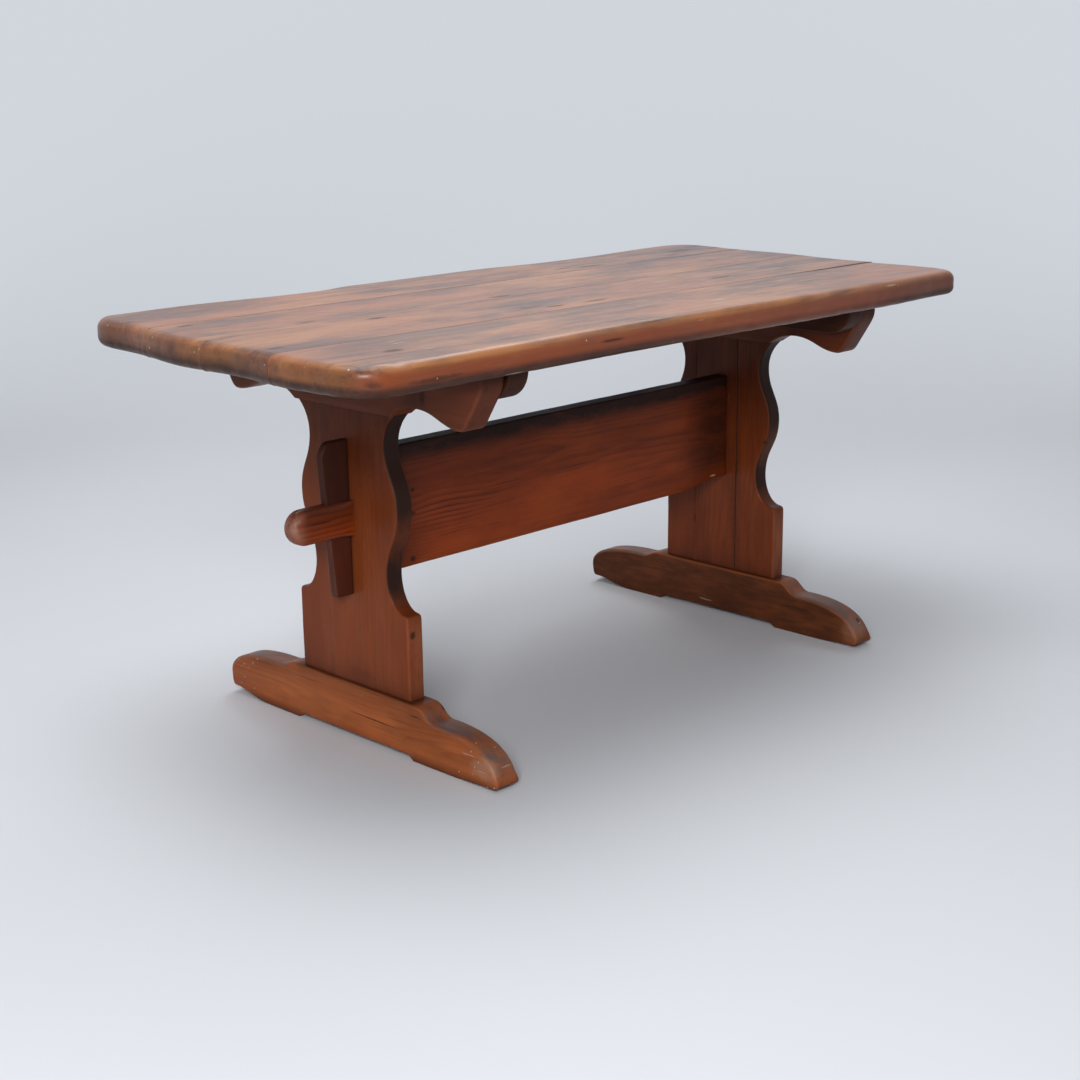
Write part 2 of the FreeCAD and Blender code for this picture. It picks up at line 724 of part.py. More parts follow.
build_top()
for trestle_side in (LEFT, RIGHT):
    build_batten(trestle_side)
    build_screws(trestle_side)
    build_pegs(trestle_side)
    build_bearer(trestle_side)
    build_upright(trestle_side)
    build_foot(trestle_side)
    build_wedge(trestle_side)
build_stretcher()
doc.recompute()

faults = [item.Label for item in doc.Objects if {"Invalid", "Error"} & set(item.State)]
faults += [item.Label for item in nodes if item.Shape.isNull() or not item.Shape.isValid()]
if faults:
    raise RuntimeError("these objects failed: " + ", ".join(faults))
os.makedirs("parts", exist_ok=True)
for item in nodes:
    item.Shape.exportStep(f"parts/{item.Label}.step")
    print(item.Label, len(item.Shape.Solids), round(item.Shape.Volume))
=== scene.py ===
import logging
import math
from dataclasses import dataclass, field
from enum import Enum
from functools import partial, reduce

import bmesh
import bpy
import numpy as np
from mathutils import Matrix, Vector, geometry, kdtree, noise


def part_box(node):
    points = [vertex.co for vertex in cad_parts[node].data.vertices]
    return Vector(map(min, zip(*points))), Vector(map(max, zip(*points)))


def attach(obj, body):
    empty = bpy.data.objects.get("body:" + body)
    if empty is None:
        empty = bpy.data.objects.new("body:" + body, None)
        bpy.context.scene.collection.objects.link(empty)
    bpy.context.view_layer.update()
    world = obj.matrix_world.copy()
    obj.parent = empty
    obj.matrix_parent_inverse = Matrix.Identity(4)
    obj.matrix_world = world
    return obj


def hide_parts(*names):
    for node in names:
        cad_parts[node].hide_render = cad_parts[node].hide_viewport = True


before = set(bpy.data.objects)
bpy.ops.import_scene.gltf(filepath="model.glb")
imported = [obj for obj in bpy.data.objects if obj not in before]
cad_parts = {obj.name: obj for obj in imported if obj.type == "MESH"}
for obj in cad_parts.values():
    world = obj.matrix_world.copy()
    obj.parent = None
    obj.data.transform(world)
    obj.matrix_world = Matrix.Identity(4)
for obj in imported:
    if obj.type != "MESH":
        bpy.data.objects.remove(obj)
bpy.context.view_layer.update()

# Worn, stained pine trestle table. Every board is lofted from a cross-section of its CAD node, so it keeps
# the CAD outline, and gets rounded arrises, hollows, marks of use, and shade painted where parts meet or
# lie under others. Metres, in the frame of the CAD model.

LOG = logging.getLogger("trestle_table")
# Distance within which points of a CAD mesh are joined, and points of a flat fill.
WELD = 1e-6
MERGE = 1e-9
# A place this close to a line counts as on it.
ON_LINE = 0.0004
# Turn that makes a corner of a ring, and bend that makes an edge of a mesh sharp.
CORNER_TURN = math.radians(30)
SHARP_ANGLE = math.radians(38)
# Sine of the turn above which an inset corner is mitred, how many points on each side of it may give way, and
# the least step between them.
CORNER_SINE = 0.25
CORNER_REACH = 5
LEAST_STEP = 0.0003
# Rows of faces round an arris, and points round a drilled hole.
ARRIS_STEPS = 6
HOLE_STEPS = 32
# Height of an even triangle of a fill, and least distance of its points from the edge, as shares of its side.
ROW_SHARE = 0.866
CLEAR_SHARE = 0.6
# Blender's number for a fill that leaves the rings' holes open.
INSIDE_WITH_HOLES = 2
# How much lighter red, green and blue are where the stain is thin.
AMBER_GAIN = (1.25, 1.50, 1.55)

Colour = tuple[float, float, float, float]
Socket = bpy.types.NodeSocket
Value = Socket | float | tuple[float, ...]


class Axis(Enum):
    """One axis of the CAD frame."""

    X = 0
    Y = 1
    Z = 2

    @property
    def plane(self) -> tuple[int, int]:
        """The other two axes, so that a ring seen from the axis's plus side keeps its turn."""
        return ((1, 2), (2, 0), (0, 1))[self.value]

    @property
    def unit(self) -> Vector:
        """Unit vector along the axis."""
        return Vector([float(index == self.value) for index in range(3)])

    def spatial(self, flat: np.ndarray, level: float | np.ndarray) -> np.ndarray:
        """Points in space.

        Args:
            flat: Points in the plane square to the axis.
            level: Their place along the axis.

        Returns:
            One row of x, y and z for each point.
        """
        points = np.empty((len(flat), 3))
        points[:, self.plane[0]] = flat[:, 0]
        points[:, self.plane[1]] = flat[:, 1]
        points[:, self.value] = level
        return points


class Side(Enum):
    """End of the table, as a sign along its length."""

    LEFT = -1
    RIGHT = 1

    @property
    def word(self) -> str:
        """The word that the names of this end's pieces start with."""
        return self.name.lower()


def step(low: float, high: float, values: np.ndarray) -> np.ndarray:
    """Smooth step.

    Args:
        low: Value at which the step starts.
        high: Value at which it is complete, which may be less than low.
        values: Numbers to map.

    Returns:
        Numbers from 0 to 1.
    """
    share = np.clip((values - low) / (high - low), 0.0, 1.0)
    return share * share * (3.0 - 2.0 * share)


def wobble(points: np.ndarray, scale: tuple[float, float, float], seed: float) -> np.ndarray:
    """Smooth noise at points in space.

    Args:
        points: Places in metres.
        scale: Waves per metre along each axis.
        seed: Shift that makes one wobble differ from another.

    Returns:
        Numbers from about -1 to 1.
    """
    shifted = points * np.array(scale) + seed
    return np.array([noise.noise(Vector(place)) for place in shifted])


class Section:
    """Evenly spaced rings where a flat plane cuts a CAD node."""

    def __init__(self, node: str, axis: Axis, level: float, spacing: float) -> None:
        """Cut the node and space its rings.

        Args:
            node: Name of the CAD node.
            axis: Axis that the plane is square to.
            level: Place of the plane along it.
            spacing: Distance between points of a ring.
        """
        rings = [self.spaced(ring, spacing) for ring in self.cut(node, axis, level)]
        rings.sort(key=lambda ring: -abs(self.area(ring)))
        self.rings = [
            ring if (self.area(ring) > 0) == (index == 0) else ring[::-1]
            for index, ring in enumerate(rings)
        ]

    @staticmethod
    def area(ring: np.ndarray) -> float:
        """Signed area inside a ring, positive if it turns to the left."""
        after = np.roll(ring, -1, axis=0)
        return float(np.sum(ring[:, 0] * after[:, 1] - after[:, 0] * ring[:, 1]) / 2)

    @staticmethod
    def cut(node: str, axis: Axis, level: float) -> list[np.ndarray]:
        """Find where the plane meets the node's surface.

        Args:
            node: Name of the CAD node.
            axis: Axis that the plane is square to.
            level: Place of the plane along it.

        Returns:
            Closed rings of flat points, as the CAD model has them.
        """
        mesh = bmesh.new()
        mesh.from_mesh(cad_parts[node].data)
        bmesh.ops.remove_doubles(mesh, verts=mesh.verts, dist=WELD)
        found = bmesh.ops.bisect_plane(
            mesh, geom=mesh.verts[:] + mesh.edges[:] + mesh.faces[:], dist=WELD,
            plane_co=axis.unit * level, plane_no=axis.unit)["geom_cut"]
        mesh.verts.index_update()
        links: dict[int, list[int]] = {}
        places: dict[int, tuple[float, float]] = {}
        for edge in found:
            if isinstance(edge, bmesh.types.BMEdge):
                for here, there in (edge.verts, reversed(edge.verts)):
                    links.setdefault(here.index, []).append(there.index)
                    places[here.index] = tuple(here.co[index] for index in axis.plane)
        mesh.free()
        rings = []
        while links:
            ring = [next(iter(links))]
            following = links[ring[0]][0]
            while following != ring[0]:
                ring.append(following)
                following = next(index for index in links[following] if index != ring[-2])
            rings.append(np.array([places[index] for index in ring]))
            for index in ring:
                links.pop(index)
        return rings

    @classmethod
    def softened(cls, ring: np.ndarray, reach: float, share: np.ndarray | float) -> np.ndarray:
        """Round a ring's corners.

        Args:
            ring: Finely spaced ring.
            reach: How far along the ring a corner is spread.
            share: How much of the rounding each point takes, from 0 to 1.

        Returns:
            The ring with the same number of points.
        """
        gap = np.linalg.norm(np.diff(ring, axis=0), axis=1).mean()
        width = max(1, round(3 * reach / gap))
        weights = np.exp(-0.5 * (np.arange(-width, width + 1) * gap / reach) ** 2)
        spread = np.concatenate([ring[-width:], ring, ring[:width]])
        smooth = np.column_stack([
            np.convolve(spread[:, column], weights / weights.sum(), mode="valid") for column in (0, 1)])
        return ring + (smooth - ring) * np.broadcast_to(share, len(ring))[:, None]

    @staticmethod
    def spaced(ring: np.ndarray, spacing: float) -> np.ndarray:
        """Space a ring's points evenly between its corners.

        Args:
            ring: Closed ring of points.
            spacing: Distance to aim for.

        Returns:
            The ring with new points.
        """
        ring = ring[np.linalg.norm(np.roll(ring, -1, axis=0) - ring, axis=1) > WELD]
        after = np.roll(ring, -1, axis=0) - ring
        before = np.roll(after, 1, axis=0)
        crossed = before[:, 0] * after[:, 1] - before[:, 1] * after[:, 0]
        turns = np.abs(np.arctan2(crossed, np.sum(before * after, axis=1)))
        corners = np.flatnonzero(turns > CORNER_TURN)
        if len(corners) == 0:
            corners = np.array([0])
        runs = []
        for first, last in zip(corners, np.roll(corners, -1)):
            count = (last - first) % len(ring) or len(ring)
            run = ring[(first + np.arange(count + 1)) % len(ring)]
            reach = np.concatenate(([0.0], np.cumsum(np.linalg.norm(np.diff(run, axis=0), axis=1))))
            steps = max(1, round(reach[-1] / spacing))
            places = np.linspace(0.0, reach[-1], steps + 1)[:-1]
            runs.append(np.column_stack([np.interp(places, reach, run[:, column]) for column in (0, 1)]))
        return np.concatenate(runs)


class Loft:
    """Mesh of a board between two flat faces, with arrises whose rounding may differ from edge to edge."""

    def __init__(self, axis: Axis, low: float, high: float) -> None:
        """Start an empty mesh.

        Args:
            axis: Axis of the board's thickness.
            low: Place of its lower face along that axis.
            high: Place of its upper face.
        """
        self.axis = axis
        self.low = low
        self.high = high
        self.points: list[np.ndarray] = []
        self.faces: list[tuple[int, ...]] = []
        self.arris: list[np.ndarray] = []
        self.count = 0

    @staticmethod
    def inset(ring: np.ndarray, depths: np.ndarray) -> np.ndarray:
        """Move a ring into the wood.

        Args:
            ring: Ring of points with the wood on its left.
            depths: How far each edge moves, from each point to the next.

        Returns:
            The moved ring.
        """
        after = np.roll(ring, -1, axis=0) - ring
        normals = np.column_stack((after[:, 1], -after[:, 0])) / np.linalg.norm(after, axis=1)[:, None]
        earlier, earlier_depths = np.roll(normals, 1, axis=0), np.roll(depths, 1)
        turn = earlier[:, 0] * normals[:, 1] - earlier[:, 1] * normals[:, 0]
        middle = earlier + normals
        middle /= np.linalg.norm(middle, axis=1)[:, None]
        moved = -middle * ((earlier_depths + depths) / 2)[:, None]
        corner = np.abs(turn) > CORNER_SINE
        safe = np.where(corner, turn, 1.0)
        mitred = np.column_stack((
            (depths * earlier[:, 1] - earlier_depths * normals[:, 1]) / safe,
            (earlier_depths * normals[:, 0] - depths * earlier[:, 0]) / safe))
        inner = ring + np.where(corner[:, None], mitred, moved)
        along = after / np.linalg.norm(after, axis=1)[:, None]
        for index in np.flatnonzero(corner):
            for sign, heading in ((1, along[index]), (-1, -along[index - 1])):
                for reach in range(1, CORNER_REACH + 1):
                    other = (index + sign * reach) % len(ring)
                    short = LEAST_STEP * reach - (inner[other] - inner[index]) @ heading
                    if short <= 0:
                        break
                    inner[other] += heading * short
        return inner

    @staticmethod
    def rounding(radii: np.ndarray, depth: float) -> np.ndarray:
        """How far in a rounded arris is, at a depth below its face."""
        left = radii - np.minimum(depth, radii)
        return radii - np.sqrt(np.maximum(radii * radii - left * left, 0.0))

    def add(self, flat: np.ndarray, level: float, arris: np.ndarray) -> int:
        """Add points at one level.

        Args:
            flat: Points in the board's plane.
            level: Place along its thickness.
            arris: How far each is into a worn arris, from 0 to 1.

        Returns:
            Index of the first new point.
        """
        start = self.count
        self.points.append(self.axis.spatial(flat, level))
        self.arris.append(arris)
        self.count += len(flat)
        return start

    def wall(self, ring: np.ndarray, high: np.ndarray, low: np.ndarray, rows: float) -> tuple[int, int]:
        """Add the side of one ring, from the upper face to the lower one.

        Args:
            ring: Ring of points.
            high: Radius of each edge's upper arris.
            low: Radius of each edge's lower arris.
            rows: Distance between rows on the flat of the side.

        Returns:
            Indices where the uppermost and lowest rows start.
        """
        angles = np.linspace(0.0, math.pi / 2, ARRIS_STEPS + 1)
        upper = [(self.high - depth, high, depth) for depth in high.max() * (1 - np.cos(angles))]
        lower = [(self.low + depth, low, depth) for depth in low.max() * (1 - np.cos(angles))]
        gap = upper[-1][0] - lower[-1][0]
        between = np.linspace(upper[-1][0], lower[-1][0], max(1, round(gap / rows)) + 1)[1:-1]
        levels = upper + [(level, high, math.inf) for level in between] + lower[::-1]
        starts = []
        for level, radii, depth in levels:
            at_points = np.maximum(radii, np.roll(radii, 1))
            share = np.clip(depth / np.maximum(at_points, WELD), 0.0, 1.0)
            arris = np.sin(2 * np.arccos(1 - share)) * step(0.001, 0.004, at_points)
            flat = self.inset(ring, self.rounding(radii, depth))
            starts.append(self.add(flat, level, arris))
        following = np.roll(np.arange(len(ring)), -1)
        for upper_start, lower_start in zip(starts, starts[1:]):
            self.faces += [
                (upper_start + here, lower_start + here, lower_start + there, upper_start + there)
                for here, there in enumerate(following)]
        return starts[0], starts[-1]

    def cap(self, starts: list[int], rings: list[np.ndarray], spacing: float, level: float,
            upward: bool) -> None:
        """Fill a flat face with even triangles.

        Args:
            starts: Index of the first point of each ring around it.
            rings: The rings themselves, at the face.
            spacing: Distance between points.
            level: Place along the thickness.
            upward: Whether the face looks along the axis.
        """
        edge = np.concatenate(rings)
        ahead = np.concatenate([np.roll(ring, -1, axis=0) for ring in rings])
        low, high = edge.min(axis=0), edge.max(axis=0)
        columns = np.arange(low[0] + spacing / 2, high[0], spacing)
        rows = np.arange(low[1] + spacing / 2, high[1], spacing * ROW_SHARE)
        grid = np.array([
            (column + (row_index % 2) * spacing / 2, row)
            for row_index, row in enumerate(rows) for column in columns])
        away, inside = self.measured(grid, edge, ahead)
        keep = inside & (away.min(axis=1) > spacing * CLEAR_SHARE)
        start = self.add(grid[keep], level, np.zeros(keep.sum()))
        indices = np.concatenate(
            [np.arange(first, first + len(ring)) for first, ring in zip(starts, rings)]
            + [np.arange(start, start + keep.sum())])
        links, offset = [], 0
        for ring in rings:
            links += [(offset + here, offset + (here + 1) % len(ring)) for here in range(len(ring))]
            offset += len(ring)
        flat = np.concatenate([edge, grid[keep]])
        filled = geometry.delaunay_2d_cdt(
            [Vector(place) for place in flat], links, [], INSIDE_WITH_HOLES, MERGE)
        sources = [indices[origin[0]] for origin in filled[3]]
        for triangle in filled[2]:
            corners = np.array([filled[0][index] for index in triangle])
            turned = (Section.area(corners) > 0) != upward
            self.faces.append(tuple(sources[index] for index in (triangle[::-1] if turned else triangle)))

    @staticmethod
    def measured(spots: np.ndarray, edge: np.ndarray, ahead: np.ndarray) -> tuple[np.ndarray, np.ndarray]:
        """Measure spots against the edges of rings.

        Args:
            spots: Flat points.
            edge: First point of each edge.
            ahead: Last point of each edge.

        Returns:
            The distance of each spot from each edge, and whether each spot is inside.
        """
        span = ahead - edge
        offset = spots[:, None, :] - edge[None]
        share = np.clip(np.sum(offset * span, axis=2) / np.sum(span * span, axis=1), 0.0, 1.0)
        away = np.linalg.norm(offset - share[:, :, None] * span, axis=2)
        level = spots[:, 1][:, None]
        crosses = (edge[:, 1] > level) != (ahead[:, 1] > level)
        rise = np.where(span[:, 1] == 0, 1.0, span[:, 1])
        place = edge[:, 0] + (level - edge[:, 1]) / rise * span[:, 0]
        return away, np.sum(crosses & (spots[:, 0][:, None] < place), axis=1) % 2 == 1


class Wiring:
    """Short calls for the nodes of one material or world."""

    def __init__(self, owner: bpy.types.Material | bpy.types.World, output: str = "OutputMaterial") -> None:
        """Start a material, or a world, that has only its output.

        Args:
            owner: The material or world.
            output: Blender's name for its output node, after ShaderNode.
        """
        self.owner = owner
        self.owner.use_nodes = True
        self.tree = self.owner.node_tree
        self.tree.nodes.clear()
        self.output = self.tree.nodes.new("ShaderNode" + output)

    def node(self, kind: str, inputs: dict[str | int, Value], **settings: str | int) -> bpy.types.Node:
        """Add a node.

        Args:
            kind: Blender's name for the node, after ShaderNode.
            inputs: Sockets to link, or values to set, by the input's name or number.
            settings: Properties of the node.

        Returns:
            The node.
        """
        made = self.tree.nodes.new("ShaderNode" + kind)
        for key, value in settings.items():
            setattr(made, key, value)
        for key, value in inputs.items():
            if isinstance(value, Socket):
                self.tree.links.new(value, made.inputs[key])
            else:
                made.inputs[key].default_value = value
        return made

    def math(self, operation: str, *values: Value, clamp: bool = False) -> Socket:
        """Arithmetic on one to three sockets or numbers."""
        return self.node("Math", dict(enumerate(values)), operation=operation, use_clamp=clamp).outputs[0]

    def mix(self, share: Value, first: Value, second: Value) -> Socket:
        """Colour between two colours."""
        return self.node("Mix", {0: share, 6: first, 7: second}, data_type="RGBA").outputs[2]

    def step(self, value: Socket, low: float, high: float, first: float = 0.0, last: float = 1.0) -> Socket:
        """Smooth step of a socket from one number to another."""
        inputs = {0: value, 1: low, 2: high, 3: first, 4: last}
        return self.node("MapRange", inputs, interpolation_type="SMOOTHSTEP").outputs[0]

    def scaled(self, vector: Socket, *scale: float) -> Socket:
        """Vector stretched along each axis."""
        return self.node("VectorMath", {0: vector, 1: scale}, operation="MULTIPLY").outputs[0]

    def noise(self, vector: Socket, scale: tuple[float, float, float], detail: float = 2.0,
              roughness: float = 0.55) -> Socket:
        """Smooth noise with its own waves per metre along each axis."""
        inputs = {"Vector": self.scaled(vector, *scale), "Scale": 1.0}
        return self.node("TexNoise", inputs | {"Detail": detail, "Roughness": roughness}).outputs["Fac"]

    def cells(self, vector: Socket, scale: tuple[float, float, float]) -> tuple[Socket, Socket]:
        """Distance from the nearest scattered spot, and a random number of that spot."""
        made = self.node("TexVoronoi", {"Vector": self.scaled(vector, *scale), "Scale": 1.0})
        return made.outputs["Distance"], self.parts(made.outputs["Color"])[0]

    def parts(self, vector: Socket) -> tuple[Socket, ...]:
        """The three parts of a vector."""
        return tuple(self.node("SeparateXYZ", {0: vector}).outputs)

    def attribute(self, name: str) -> Socket:
        """Vector that the mesh holds at each point."""
        return self.node("Attribute", {}, attribute_name=name).outputs["Vector"]

    def seen(self) -> Socket:
        """1 where the camera, or a reflection, sees the surface, and 0 where it only gives light.

        Returns:
            Numbers from 0 to 1.
        """
        ray = self.node("LightPath", {}).outputs
        mirrored = self.math("ADD", ray["Is Glossy Ray"], ray["Is Transmission Ray"])
        return self.math("ADD", ray["Is Camera Ray"], mirrored, clamp=True)

    def finish(self, **values: Value) -> bpy.types.Material:
        """Close the material with its shader.

        Args:
            values: Inputs of the shader by name, with underscores for spaces.

        Returns:
            The material.
        """
        inputs = {key.replace("_", " "): value for key, value in values.items()}
        shader = self.node("BsdfPrincipled", inputs)
        self.tree.links.new(shader.outputs[0], self.output.inputs[0])
        return self.owner


def shade(red: float, green: float, blue: float) -> Colour:
    """Opaque colour."""
    return red, green, blue, 1.0


class Stain(Enum):
    """What a mark does to the wood."""

    DARK = "dark"
    PALE = "pale"
    WORN = "worn"
    AMBER = "amber"


@dataclass(frozen=True)
class Mark:
    """Knot, crack, stain, nick or painted highlight at one place on the table."""

    place: tuple[float, float, float]
    size: tuple[float, float, float]
    strength: float = 0.85
    stain: Stain = Stain.DARK


@dataclass(frozen=True)
class PineFinish:
    """Stained, varnished pine, with growth rings, fibres, checks, wear, grimy places, painted shade and
    single marks.
    """

    slot: str
    light: Colour
    dark: Colour
    worn: Colour
    # Colour of grimy places, also used to paint shade.
    grime_and_shade: Colour = shade(0.024, 0.009, 0.006)
    pale: Colour = shade(0.55, 0.46, 0.36)
    ring_width: float = 0.0050
    ring_share: float = 0.60
    streak_share: float = 0.40
    patch_share: float = 0.35
    amber_share: float = 0.40
    rub_least: float = 0.15
    fibre_share: float = 0.30
    check_share: float = 0.75
    scratch_share: float = 0.99
    gloss: float = 0.40
    shine: float = 0.10
    varnish: float = 0.10
    relief: float = 0.30
    # Strength of the painted shade in crevices.
    crevice_shade: float = 0.60
    marks: tuple[Mark, ...] = ()

    @property
    def amber(self) -> Colour:
        """Colour where the stain is thin and the varnish thick."""
        return shade(*(gain * part for gain, part in zip(AMBER_GAIN, self.light)))

    def material(self) -> bpy.types.Material:
        """Wire the finish.

        Returns:
            A material that reads the grain, marks and cut that each board holds at its points.
        """
        wires = Wiring(bpy.data.materials.new(self.slot))
        grain = wires.attribute("grain")
        spot = wires.node("TexCoord", {}).outputs["Object"]
        wear, grime_and_shade, scuff = wires.parts(wires.attribute("marks"))
        late = self.rings(wires, grain)
        fibre = wires.noise(grain, (7.0, 320.0, 320.0), detail=3.0)
        ragged = wires.noise(grain, (13.0, 46.0, 46.0), detail=5.0, roughness=0.65)
        mottle = wires.noise(spot, (55.0, 55.0, 55.0), detail=4.0, roughness=0.65)

        rub = wires.math("MULTIPLY", wear, wires.step(ragged, 0.30, 0.64, self.rub_least, 0.95))
        # Grimy places and painted shade from each board, frayed along the grain.
        soil_and_shade = wires.math("MULTIPLY", grime_and_shade, wires.step(ragged, 0.28, 0.66, 0.76, 0.95), clamp=True)
        checks = self.flecks(wires, grain, (6.0, 34.0, 34.0), self.check_share, 0.0)
        scratches = self.flecks(wires, grain, (9.0, 80.0, 80.0), self.scratch_share, 3.3)
        # Ambient occlusion darkens the colour in crevices and between parts: painted shade.
        open_sky = wires.node("AmbientOcclusion", {"Distance": 0.014}, samples=6).outputs["AO"]
        crevice_shade = wires.step(open_sky, 0.62, 0.30, 0.0, self.crevice_shade)
        thin = wires.noise(grain, (2.1, 6.0, 6.0), detail=3.0, roughness=0.6)
        masks = {
            Stain.AMBER: [wires.step(thin, 0.44, 0.62, 0.0, self.amber_share)],
            Stain.WORN: [rub],
            Stain.DARK: [wires.math("MULTIPLY", checks, 0.8), soil_and_shade, crevice_shade],
            Stain.PALE: [wires.math("MULTIPLY", scratches, 0.45), self.nicks(wires, spot, scuff)],
        }
        for mark in self.marks:
            masks[mark.stain].append(self.mask(wires, spot, mottle, mark))
        # Dark mask: checks, grimy places, dark marks, and painted shade in crevices, under parts and in
        # shadows.
        amber, worn, dirt_and_shade, pale = (
            reduce(partial(wires.math, "MAXIMUM"), masks[stain])
            for stain in (Stain.AMBER, Stain.WORN, Stain.DARK, Stain.PALE))
        ground = wires.mix(amber, self.light, self.amber)
        colour = wires.mix(self.figure(wires, grain, late, fibre), ground, self.dark)
        for share, stain in ((worn, self.worn), (dirt_and_shade, self.grime_and_shade), (pale, self.pale)):
            colour = wires.mix(share, colour, stain)

        rough = wires.math("MULTIPLY_ADD", ragged, 0.20, self.gloss - 0.10)
        rough = wires.math("MULTIPLY_ADD", mottle, 0.12, rough)
        rough = wires.math("MULTIPLY_ADD", dirt_and_shade, 0.12, rough, clamp=True)
        height = wires.math("MULTIPLY_ADD", fibre, 0.35, wires.math("MULTIPLY", late, 0.25))
        height = wires.math("MULTIPLY_ADD", mottle, 0.9, height)
        height = wires.math("SUBTRACT", height, wires.math("MULTIPLY", dirt_and_shade, 0.5))
        height = wires.math("SUBTRACT", height, pale)
        bump = wires.node("Bump", {"Strength": self.relief, "Distance": 0.0009, "Height": height})
        varnish = wires.math("MULTIPLY_ADD", dirt_and_shade, -0.85 * self.varnish, self.varnish, clamp=True)
        return wires.finish(
            Base_Color=colour, Roughness=rough, Normal=bump.outputs[0], Specular_IOR_Level=self.shine,
            Coat_Weight=varnish, Coat_Roughness=self.gloss - 0.10)

    def figure(self, wires: Wiring, grain: Socket, late: Socket, fibre: Socket) -> Socket:
        """How deep the stain has gone in.

        Args:
            wires: The material's wiring.
            grain: Place along, across and into the board.
            late: Late wood of the growth rings.
            fibre: Fine fibres.

        Returns:
            Numbers from 0, light, to 1, dark.
        """
        end, tone, figured = wires.parts(wires.attribute("cut"))
        zone = wires.step(wires.noise(grain, (1.1, 9.0, 9.0), detail=1.0), 0.38, 0.62, 0.25, 1.0)
        zone = wires.math("MULTIPLY", zone, wires.step(end, 0.0, 0.6, self.ring_share, self.ring_share * 0.3))
        zone = wires.math("MULTIPLY_ADD", figured, 0.6, zone)
        streak = wires.step(wires.noise(grain, (3.4, 42.0, 42.0), detail=4.0, roughness=0.6), 0.46, 0.70)
        line = wires.step(wires.noise(grain, (7.0, 170.0, 170.0), detail=2.0), 0.56, 0.74)
        patch = wires.step(wires.noise(grain, (2.8, 8.0, 8.0), detail=4.0, roughness=0.6), 0.38, 0.64)
        depth = wires.math("MULTIPLY", late, zone)
        depth = wires.math("MULTIPLY_ADD", fibre, self.fibre_share, depth)
        depth = wires.math("MULTIPLY_ADD", streak, self.streak_share, depth)
        depth = wires.math("MULTIPLY_ADD", line, self.streak_share, depth)
        patchy = wires.step(end, 0.0, 0.6, self.patch_share, self.patch_share * 0.4)
        depth = wires.math("MULTIPLY_ADD", patch, patchy, depth)
        depth = wires.math("MULTIPLY_ADD", end, 0.30, depth)
        depth = wires.math("ADD", depth, tone)
        return wires.math("SUBTRACT", depth, 0.20, clamp=True)

    def rings(self, wires: Wiring, grain: Socket) -> Socket:
        """Late wood of growth rings round the board's pith.

        Args:
            wires: The material's wiring.
            grain: Place along, across and into the board, measured from the pith.

        Returns:
            Numbers from 0, early wood, to 1, late wood.
        """
        bends = {"Vector": wires.scaled(grain, 1.7, 5.0, 5.0), "Scale": 1.0, "Detail": 2.0}
        shift = wires.scaled(wires.node("TexNoise", bends).outputs["Color"], 0.0, 0.055, 0.055)
        moved = wires.node("VectorMath", {0: grain, 1: shift}, operation="ADD")
        across = wires.scaled(moved.outputs[0], 0.0, 1.0, 1.0)
        reach = wires.node("VectorMath", {0: across}, operation="LENGTH").outputs["Value"]
        phase = wires.math("FRACT", wires.math("DIVIDE", reach, self.ring_width))
        rise = wires.step(phase, 0.30, 0.92)
        return wires.math("MULTIPLY", rise, wires.step(phase, 0.93, 1.0, 1.0, 0.0))

    @staticmethod
    def flecks(wires: Wiring, grain: Socket, scale: tuple[float, float, float], share: float,
               shift: float) -> Socket:
        """Short flecks along the grain.

        Args:
            wires: The material's wiring.
            grain: Place along, across and into the board.
            scale: Flecks per metre along each of these.
            share: Share of the places for a fleck that stay empty.
            shift: Offset that makes one set of flecks differ from another.

        Returns:
            Numbers from 0 to 1, which is in a fleck.
        """
        place = wires.node("VectorMath", {0: grain, 1: (shift, shift, shift)}, operation="ADD").outputs[0]
        jagged = wires.noise(place, (30.0, 200.0, 200.0), detail=3.0)
        away, pick = wires.cells(place, scale)
        inside = wires.step(wires.math("MULTIPLY_ADD", jagged, 0.30, away), 0.24, 0.36, 1.0, 0.0)
        return wires.math("MULTIPLY", inside, wires.math("GREATER_THAN", pick, share))

    @staticmethod
    def mask(wires: Wiring, spot: Socket, mottle: Socket, mark: Mark) -> Socket:
        """Reach of one mark.

        Args:
            wires: The material's wiring.
            spot: Place on the table.
            mottle: Noise that frays the mark.
            mark: Its place and size.

        Returns:
            Numbers from 0 to the mark's strength, which is at its middle.
        """
        offset = wires.node("VectorMath", {0: spot, 1: mark.place}, operation="SUBTRACT").outputs[0]
        shrunk = wires.scaled(offset, *(1 / length for length in mark.size))
        reach = wires.node("VectorMath", {0: shrunk}, operation="LENGTH").outputs["Value"]
        return wires.step(wires.math("MULTIPLY_ADD", mottle, 0.7, reach), 0.60, 1.20, mark.strength, 0.0)

    @staticmethod
    def nicks(wires: Wiring, spot: Socket, scuff: Socket) -> Socket:
        """Small pale nicks where the board is scuffed.

        Args:
            wires: The material's wiring.
            spot: Place on the table.
            scuff: How scuffed each place is.

        Returns:
            Numbers from 0 to almost 1, which is in a nick.
        """
        jagged = wires.noise(spot, (300.0, 300.0, 300.0))
        away, pick = wires.cells(spot, (85.0, 85.0, 85.0))
        away = wires.math("MULTIPLY_ADD", jagged, 0.22, away)
        inside = wires.step(away, 0.19, 0.26, 0.85, 0.0)
        return wires.math("MULTIPLY", inside, wires.math("GREATER_THAN", scuff, pick))


